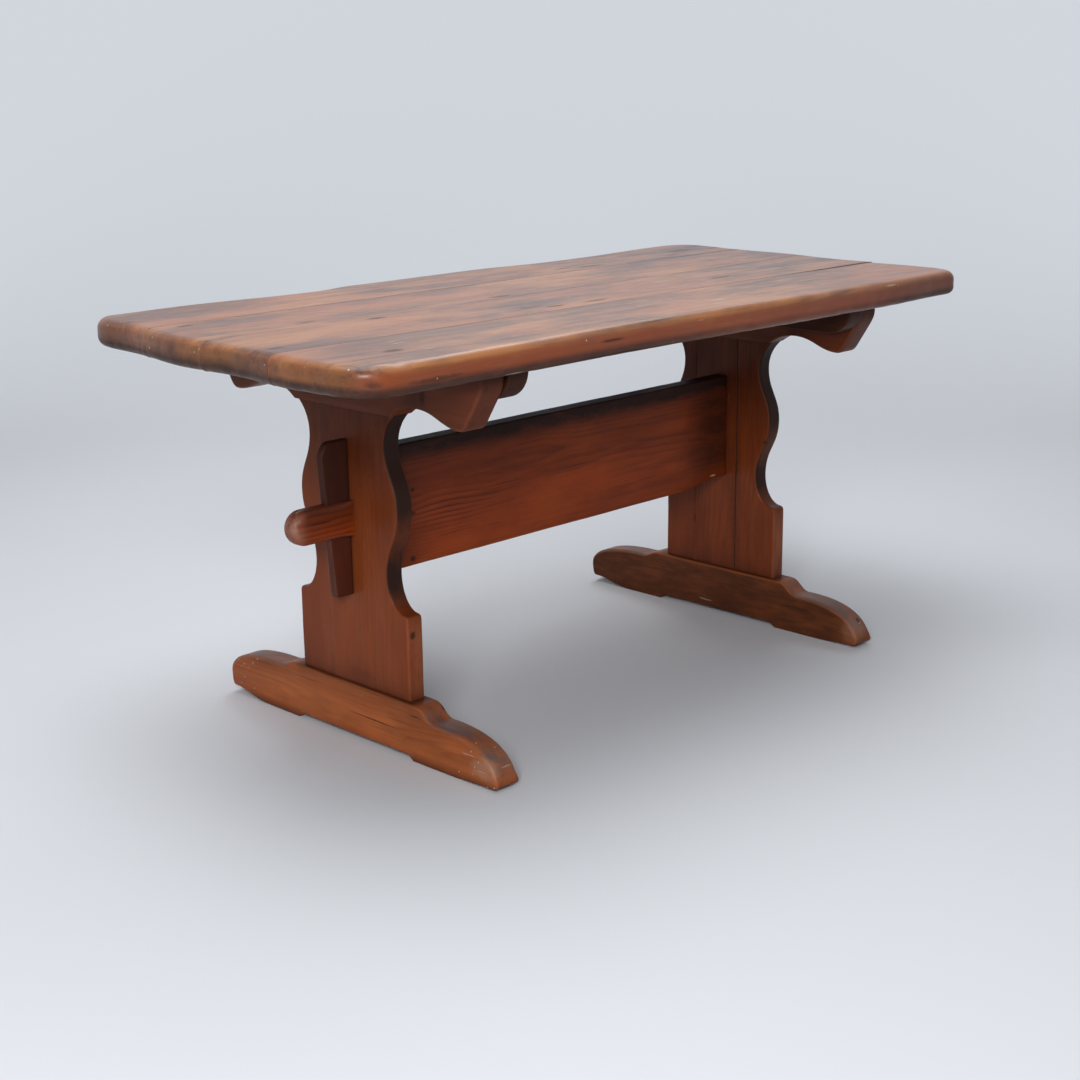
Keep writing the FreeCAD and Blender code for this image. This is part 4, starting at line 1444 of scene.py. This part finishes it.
@dataclass
class Stretcher(Plank):
    """Deep board between the trestles, whose tenons stand out past the uprights like thumbs."""

    arris_radius: float = 0.003
    mortise_radius: float = 0.0010
    tenon_radius: float = 0.012
    upright_face: float = 0.520
    upright_inside: float = 0.484

    def radius(self, spots: np.ndarray, upper: bool) -> np.ndarray:
        """Radius of the arris: crisp on the board, tight in the mortises, full on the tenons' noses.

        Args:
            spots: Places in the CAD frame, in the middle of the board's thickness.
            upper: Whether the arris is on the face along the axis.

        Returns:
            One radius for each place.
        """
        reach = np.abs(spots[:, 0])
        nose = step(self.upright_face - 0.001, self.upright_face + 0.030, reach)
        in_mortise = (reach > self.upright_inside - ON_LINE) & (reach <= self.upright_face)
        board = np.where(in_mortise, self.mortise_radius, self.arris_radius)
        return board + (self.tenon_radius - board) * nose

    def figured(self, points: np.ndarray) -> np.ndarray:
        """Flame-shaped rings near the left end, and strong rings on the tenons.

        Args:
            points: Places in the CAD frame.

        Returns:
            Numbers from 0 to 1.
        """
        flame = np.exp(-((points[:, 0] + 0.31) / 0.09) ** 2 - ((points[:, 2] - 0.385) / 0.030) ** 2)
        tenon = step(self.upright_face, self.upright_face + 0.01, np.abs(points[:, 0]))
        return np.maximum(flame, 0.8 * tenon)

    def wear(self, points: np.ndarray, normals: np.ndarray, arris: np.ndarray) -> np.ndarray:
        """Wear of the arrises and of the tenons' tips.

        Args:
            points: Places in the CAD frame.
            normals: The way the surface looks there.
            arris: How far each is into a worn arris.

        Returns:
            Numbers from 0 to 1.
        """
        reach = np.abs(points[:, 0])
        tip = step(0.612, 0.646, reach) * (0.35 + 0.65 * step(-0.4, 0.5, normals[:, 2]))
        return np.clip(0.25 * arris + tip, 0.0, 1.0)

    def grime_and_shade(self, points: np.ndarray, normals: np.ndarray) -> np.ndarray:
        """Painted shadow of the top on the upper edge, partly stain; darker right end; painted shade at the
        uprights; handled tenons.

        Args:
            points: Places in the CAD frame.
            normals: The way the surface looks there.

        Returns:
            Numbers from 0 to 1.2, where anything above 1 stays dark on clean streaks.
        """
        reach = np.abs(points[:, 0])
        # Painted shadow of the top along the upper edge, partly dark stain.
        high = 0.35 * step(0.37, 0.46, points[:, 2]) + 0.95 * step(0.466, 0.510, points[:, 2])
        # Darker towards the right end.
        far = 0.95 * step(0.29, 0.43, points[:, 0]) * step(0.27, 0.36, points[:, 2])
        # Painted shade where the board enters the uprights.
        shoulder_shade = 0.5 * np.exp(-np.abs(reach - self.upright_inside) / 0.02)
        outside = step(self.upright_face - 0.01, self.upright_face, reach) * step(0.648, 0.615, reach)
        handled = (0.25 + 0.45 * step(0.385, 0.42, points[:, 2])) * outside
        board = np.where(reach < self.upright_inside, np.maximum(high, far), 0.0)
        return np.clip(np.maximum.reduce([board, shoulder_shade, handled]), 0.0, 1.2)


@dataclass
class Wedge(Plank):
    """Loose tapered wedge through a tenon."""

    arris_radius: float = 0.0042

    def blunted(self, spots: np.ndarray) -> np.ndarray:
        """Rounding of every corner but those against the upright."""
        inner = self.high[0] if self.middle[0] < 0 else self.low[0]
        return step(0.003, 0.010, np.abs(spots[:, 0] - inner)) * 0.85 + 0.15

    def radius(self, spots: np.ndarray, upper: bool) -> np.ndarray:
        """Radius of the arris, a little uneven."""
        return self.arris_radius + 0.0008 * wobble(spots, (0.0, 0.0, 14.0), self.seed)

    def wear(self, points: np.ndarray, normals: np.ndarray, arris: np.ndarray) -> np.ndarray:
        """Wear of the arrises on the wedge's outer edge."""
        outer = step(0.2, 0.7, np.abs(normals[:, 0])) * step(0.02, 0.03, np.abs(points[:, 0]) - 0.520)
        return np.clip(0.30 * arris * outer, 0.0, 1.0)

    def grime_and_shade(self, points: np.ndarray, normals: np.ndarray) -> np.ndarray:
        """Darker on the upper half."""
        return 0.75 * step(0.36, 0.43, points[:, 2])


def islands(node: str) -> list[tuple[Vector, Vector]]:
    """Find the separate solids of a CAD node.

    Args:
        node: Name of the node.

    Returns:
        The lowest and highest corner of each solid, from front to back.
    """
    mesh = bmesh.new()
    mesh.from_mesh(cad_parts[node].data)
    bmesh.ops.remove_doubles(mesh, verts=mesh.verts, dist=WELD)
    left, found = set(mesh.verts), []
    while left:
        group, front = set(), [left.pop()]
        while front:
            vertex = front.pop()
            group.add(vertex)
            linked = {edge.other_vert(vertex) for edge in vertex.link_edges} & left
            left -= linked
            front += linked
        places = np.array([vertex.co for vertex in group])
        found.append((Vector(places.min(axis=0)), Vector(places.max(axis=0))))
    mesh.free()
    return sorted(found, key=lambda box: box[0].y)


def turned(profile: list[tuple[float, float]], centre: tuple[float, float], steps: int,
           mesh: bmesh.types.BMesh) -> None:
    """Add a turned shape to a mesh.

    Args:
        profile: Radius and height of each ring, from the bottom up; the ends are closed.
        centre: Place of the upright axis, in x and y.
        steps: How many points a ring has.
        mesh: Mesh to add to.
    """
    rings = []
    for radius, height in profile:
        turns = [2 * math.pi * index / steps for index in range(steps)]
        rings.append([
            mesh.verts.new((centre[0] + radius * math.cos(turn), centre[1] + radius * math.sin(turn), height))
            for turn in turns])
    mesh.faces.new(rings[0][::-1])
    mesh.faces.new(rings[-1])
    for lower, upper in zip(rings, rings[1:]):
        for index in range(steps):
            after = (index + 1) % steps
            mesh.faces.new((lower[index], lower[after], upper[after], upper[index]))


@dataclass
class Pegs:
    """Turned pegs in a bearer that keep the loose top in place."""

    side: Side
    chamfer: float = 0.0018
    steps: int = 32

    def build(self, dresser: Dresser) -> bpy.types.Object:
        """Build the pegs of one bearer.

        Args:
            dresser: What turns meshes into pieces.

        Returns:
            The new object.
        """
        node = self.side.word + "_top_pegs"
        shape = bmesh.new()
        for low, high in islands(node):
            radius = (high.x - low.x) / 2
            centre = ((low.x + high.x) / 2, (low.y + high.y) / 2)
            profile = [
                (radius - self.chamfer, low.z), (radius, low.z + self.chamfer),
                (radius * 0.985, (low.z + high.z) / 2), (radius, high.z - 2 * self.chamfer),
                (radius - self.chamfer / 2, high.z - self.chamfer / 2), (radius - self.chamfer, high.z),
                (radius * 0.4, high.z)]
            turned(profile, centre, self.steps, shape)
        mesh = bpy.data.meshes.new(node + "_turned")
        shape.to_mesh(mesh)
        shape.free()
        points = np.array([vertex.co for vertex in mesh.vertices])
        grain = np.column_stack((points[:, 2], points[:, 0], points[:, 1])).astype(np.float32)
        for name, values in (("grain", grain), ("marks", grain * 0), ("cut", grain * 0)):
            mesh.attributes.new(name, "FLOAT_VECTOR", "POINT").data.foreach_set("vector", values.ravel())
        return dresser.piece(node + "_turned", mesh, node, "frame", PEG_WOOD)


@dataclass
class Screws:
    """Slotted wood screws that hold a batten to the planks."""

    side: Side
    slot_width: float = 0.0012
    slot_depth: float = 0.0013
    head_height: float = 0.0030
    thread_start: float = 0.016
    thread_end: float = 0.006
    thread_depth: float = 0.0005
    thread_pitch: float = 0.0022
    point_length: float = 0.005
    steps: int = 24

    def build(self, dresser: Dresser) -> bpy.types.Object:
        """Build the screws of one batten.

        Args:
            dresser: What turns meshes into pieces.

        Returns:
            The new object.
        """
        node = self.side.word + "_batten_screws"
        shape, slots = bmesh.new(), []
        for index, (low, high) in enumerate(islands(node)):
            head = (high.x - low.x) / 2
            shank = head / 2
            centre = ((low.x + high.x) / 2, (low.y + high.y) / 2)
            profile = [(head * 0.55, low.z), (head * 0.92, low.z + 0.0003), (head, low.z + 0.0009),
                       (shank, low.z + self.head_height)]
            level = low.z + self.thread_start
            while level < high.z - self.thread_end:
                profile += [(shank - self.thread_depth, level), (shank, level + self.thread_pitch / 2)]
                level += self.thread_pitch
            profile += [(shank - self.thread_depth, high.z - self.point_length), (0.0003, high.z)]
            turned(profile, centre, self.steps, shape)
            turn = Matrix.Rotation(0.7 + 1.9 * index, 2)
            corners = [(-head * 1.2, -self.slot_width / 2), (head * 1.2, -self.slot_width / 2),
                       (head * 1.2, self.slot_width / 2), (-head * 1.2, self.slot_width / 2)]
            ring = np.array([turn @ Vector(corner) + Vector(centre) for corner in corners])
            slots.append(Cutter(ring, Axis.Z, low.z - 0.002, low.z + self.slot_depth))
        mesh = bpy.data.meshes.new(node + "_slotted")
        shape.to_mesh(mesh)
        shape.free()
        mesh = cut_from(mesh, slots)
        return dresser.piece(node + "_slotted", mesh, node, "top", SCREW_STEEL)


@dataclass
class TableTop:
    """Loose top: four planks on two battens, with their screws."""

    front_seam: float = -0.175
    middle_seam: float = 0.010
    back_seam: float = 0.195
    socket_clearance: float = 0.001
    recess_radius: float = 0.007
    recess_depth: float = 0.020
    overrun: float = 0.01

    def build(self, dresser: Dresser) -> None:
        """Build the planks, the battens and the screws.

        Args:
            dresser: What turns meshes into pieces.
        """
        boards = (
            ("top_front_board", (self.front_seam,), 0.00, (0.03, -0.075), 0.0001, 0.0009),
            ("top_inner_front_board", (self.front_seam, self.middle_seam), 0.05, (-0.02, -0.11), 0.0, 0.0),
            ("top_inner_back_board", (self.middle_seam, self.back_seam), -0.03, (0.05, -0.085), 0.0001, 0.0),
            ("top_back_board", (self.back_seam,), 0.03, (-0.04, -0.10), 0.0, 0.0),
        )
        for index, (node, seams, tone, pith, dip, far_dip) in enumerate(boards):
            TopBoard(
                node, "top", TOP_PINE, Axis.Z, Axis.X, seed=3.7 * index + 1.3, tone=tone, pith=pith,
                section_share=0.0, cap_spacing=0.010, seams=seams, dip=dip, far_dip=far_dip,
                cutters=self.sockets(node)).build(dresser)
        for side in Side:
            node = side.word + "_batten"
            Batten(
                node, "top", BEARER_PINE, Axis.X, Axis.Y, seed=21.0 + side.value, tone=0.25,
                cutters=self.recesses(side)).build(dresser)
            Screws(side).build(dresser)

    def sockets(self, node: str) -> list[Cutter]:
        """Sockets in one plank for the pegs under it.

        Args:
            node: CAD node of the plank.

        Returns:
            One cutter for each peg that reaches into the plank.
        """
        low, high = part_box(node)
        found = []
        for side in Side:
            for peg_low, peg_high in islands(side.word + "_top_pegs"):
                centre = ((peg_low.x + peg_high.x) / 2, (peg_low.y + peg_high.y) / 2)
                if low.y < centre[1] < high.y:
                    radius = (peg_high.x - peg_low.x) / 2 + self.socket_clearance
                    found.append(Cutter.round_hole(
                        centre, radius, low.z - self.overrun, peg_high.z + self.socket_clearance))
        return found

    def recesses(self, side: Side) -> list[Cutter]:
        """Recesses in one batten for the heads of its screws.

        Args:
            side: The batten's end of the table.

        Returns:
            One cutter for each screw.
        """
        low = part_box(side.word + "_batten")[0]
        return [
            Cutter.round_hole(
                ((screw_low.x + screw_high.x) / 2, (screw_low.y + screw_high.y) / 2),
                self.recess_radius, low.z - self.overrun, low.z + self.recess_depth)
            for screw_low, screw_high in islands(side.word + "_batten_screws")]


@dataclass
class Trestle:
    """One trestle: its foot, three upright boards, bearer and pegs."""

    side: Side
    front_seam: float = -0.044
    back_seam: float = 0.065
    front_open: float = 0.0002
    back_open: float = 0.0002
    tone: float = 0.0
    foot_darkening: float = 0.0

    def build(self, dresser: Dresser) -> None:
        """Build the trestle's boards and pegs.

        Args:
            dresser: What turns meshes into pieces.
        """
        word, seed = self.side.word, 40.0 + 9.0 * self.side.value
        Foot(
            word + "_foot", "frame", FOOT_PINE, Axis.X, Axis.Y, seed=seed, pith=(0.01, -0.06),
            darkened=self.foot_darkening).build(dresser)
        Bearer(
            word + "_bearer", "frame", BEARER_PINE, Axis.X, Axis.Y, seed=seed + 1.7, tone=self.tone,
            blunt_reach=0.006).build(dresser)
        front, back = (self.front_seam, self.front_open), (self.back_seam, self.back_open)
        boards = (
            ("front", (front,), 0.00, (0.01, -0.08)),
            ("middle", (front, back), 0.02, (-0.02, -0.07)),
            ("back", (back,), -0.02, (0.02, -0.09)),
        )
        for index, (place, seams, tone, pith) in enumerate(boards):
            UprightBoard(
                f"{word}_upright_{place}_board", "frame", UPRIGHT_PINE, Axis.X, Axis.Z,
                seed=seed + 2.9 + 3.1 * index, tone=tone + self.tone, pith=pith,
                seams=tuple(seam for seam, _ in seams),
                seam_radii=tuple(radius for _, radius in seams)).build(dresser)
        Pegs(self.side).build(dresser)


@dataclass
class WedgedStretcher:
    """Stretcher with a slot through each tenon, and the wedges in them."""

    slot_clearance: float = 0.0004
    slot_draw: float = 0.004

    def build(self, dresser: Dresser) -> None:
        """Build the stretcher and the wedges.

        Args:
            dresser: What turns meshes into pieces.
        """
        Stretcher(
            "stretcher", "frame", STRETCHER_PINE, Axis.Y, Axis.X, seed=71.0, pith=(0.05, -0.05),
            cutters=[self.slot(side) for side in Side]).build(dresser)
        for side in Side:
            node = side.word + "_wedge"
            Wedge(node, node, WEDGE_PINE, Axis.Y, Axis.Z, seed=83.0 + side.value, spacing=0.004,
                  cap_spacing=0.008, row_spacing=0.006, blunt_reach=0.006).build(dresser)

    def slot(self, side: Side) -> Cutter:
        """Slot that a wedge passes through.

        Args:
            side: The wedge's end of the table.

        Returns:
            The cutter, on the wedge's own taper with a little clearance.
        """
        node = side.word + "_wedge"
        low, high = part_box(node)
        ring = Section(node, Axis.Y, (low.y + high.y) / 2, 1.0).rings[0]
        ring = Loft.inset(ring, np.full(len(ring), -self.slot_clearance))
        inner = high.x if side is Side.LEFT else low.x
        against = np.abs(ring[:, 1] - inner) < 2 * self.slot_clearance
        ring[against, 1] -= side.value * self.slot_draw
        return Cutter(ring, Axis.Y, low.y - self.slot_clearance, high.y + self.slot_clearance)


@dataclass
class Studio:
    """Pale floor that curves up into a backdrop, soft lights, and the camera."""

    paint: Colour = shade(0.765, 0.790, 0.830)
    distance: Colour = shade(0.640, 0.670, 0.725)
    near: float = 2.4
    far: float = 4.4
    fill: float = 0.16
    floor_front: float = -9.0
    sweep_start: float = 2.3
    sweep_radius: float = 1.6
    sweep_steps: int = 24
    wall_height: float = 5.0
    half_width: float = 9.0
    view_from: tuple[float, float, float] = (-2.394, -2.340, 1.172)
    yaw: float = math.radians(45.010)
    pitch: float = math.radians(15.263)
    roll: float = math.radians(-0.749)
    focal_pixels: float = 1791.75
    image_pixels: float = 1080.0

    def build(self) -> None:
        """Build the stage, the lights and the camera."""
        self.stage()
        self.lights()
        self.camera()

    def stage(self) -> None:
        """Build the floor and backdrop in one sweep, square to the camera's view."""
        turns = [math.pi / 2 * index / self.sweep_steps for index in range(self.sweep_steps + 1)]
        profile = [(self.floor_front, 0.0), (self.floor_front / 2, 0.0), (0.0, 0.0)]
        profile += [
            (self.sweep_start + self.sweep_radius * math.sin(turn), self.sweep_radius * (1 - math.cos(turn)))
            for turn in turns]
        profile.append((self.sweep_start + self.sweep_radius, self.wall_height))
        ahead = Vector((math.cos(self.yaw), math.sin(self.yaw), 0.0))
        right = Vector((math.sin(self.yaw), -math.cos(self.yaw), 0.0))
        points = [
            ahead * reach + right * side + Vector((0.0, 0.0, height))
            for reach, height in profile for side in (-self.half_width, self.half_width)]
        faces = [(first, first + 1, first + 3, first + 2) for first in range(0, 2 * len(profile) - 2, 2)]
        mesh = bpy.data.meshes.new("studio_sweep")
        mesh.from_pydata(points, [], faces)
        mesh.shade_smooth()
        wires = Wiring(bpy.data.materials.new("studio_paint"))
        spot = wires.node("TexCoord", {}).outputs["Object"]
        tint = wires.noise(spot, (1.2, 1.2, 1.2), detail=3.0)
        darker = tuple(0.97 * part for part in self.paint[:3])
        colour = wires.mix(wires.math("MULTIPLY", tint, 0.8), self.paint, shade(*darker))
        reach = wires.node("VectorMath", {0: spot}, operation="LENGTH").outputs["Value"]
        away = wires.math("MULTIPLY", wires.step(reach, self.near, self.far), wires.seen())
        colour = wires.mix(away, colour, shade(0.0, 0.0, 0.0))
        mesh.materials.append(wires.finish(
            Base_Color=colour, Roughness=0.75, Specular_IOR_Level=0.0, Emission_Color=self.distance,
            Emission_Strength=away))
        sweep = bpy.data.objects.new("studio_sweep", mesh)
        bpy.context.scene.collection.objects.link(sweep)

    def lights(self) -> None:
        """Add soft lamps in front, above and behind, and an even pale sky that gives little light."""
        world = bpy.data.worlds.new("studio_sky")
        bpy.context.scene.world = world
        wires = Wiring(world, "OutputWorld")
        level = wires.step(wires.seen(), 0.0, 1.0, self.fill, 1.0)
        sky = wires.node("Background", {"Color": self.distance, "Strength": level})
        wires.tree.links.new(sky.outputs[0], wires.output.inputs[0])
        lamps = (
            ("front_softbox", (-3.0, -2.4, 2.0), (-0.1, 0.0, 0.35), 1.2, 88.0),
            ("top_softbox", (-0.4, 0.4, 4.2), (0.1, -0.1, 0.5), 3.0, 95.0),
            ("back_softbox", (2.2, 1.8, 3.6), (0.3, 0.2, 0.3), 2.0, 36.0),
        )
        for name, place, aim, size, watts in lamps:
            lamp = bpy.data.lights.new(name, "AREA")
            lamp.shape = "SQUARE"
            lamp.size = size
            lamp.energy = watts
            item = bpy.data.objects.new(name, lamp)
            item.location = place
            item.rotation_euler = (Vector(aim) - Vector(place)).to_track_quat("-Z", "Y").to_euler()
            bpy.context.scene.collection.objects.link(item)

    def camera(self) -> None:
        """Place the camera where the photograph was taken from."""
        ahead = Vector((
            math.cos(self.pitch) * math.cos(self.yaw), math.cos(self.pitch) * math.sin(self.yaw),
            -math.sin(self.pitch)))
        right = Vector((math.sin(self.yaw), -math.cos(self.yaw), 0.0))
        up = right.cross(ahead)
        across = right * math.cos(self.roll) + up * math.sin(self.roll)
        upward = up * math.cos(self.roll) - right * math.sin(self.roll)
        lens = bpy.data.cameras.new("photo_camera")
        lens.sensor_width = 36.0
        lens.lens = lens.sensor_width * self.focal_pixels / self.image_pixels
        item = bpy.data.objects.new("photo_camera", lens)
        matrix = Matrix((across, upward, -ahead)).transposed().to_4x4()
        matrix.translation = self.view_from
        item.matrix_world = matrix
        bpy.context.scene.collection.objects.link(item)
        bpy.context.scene.camera = item


def main() -> None:
    """Build the studio and the table, and report each piece."""
    logging.basicConfig(level=logging.INFO, format="%(name)s: %(message)s")
    bpy.context.scene.view_settings.view_transform = "Standard"
    Studio().build()
    dresser = Dresser()
    TableTop().build(dresser)
    Trestle(Side.LEFT).build(dresser)
    # The right trestle's deeper tone is partly darker wood and partly painted shade of the far end.
    Trestle(Side.RIGHT, front_open=0.0022, back_open=0.0008, tone=0.22, foot_darkening=0.88).build(dresser)
    WedgedStretcher().build(dresser)


if __name__ == "__main__":
    main()
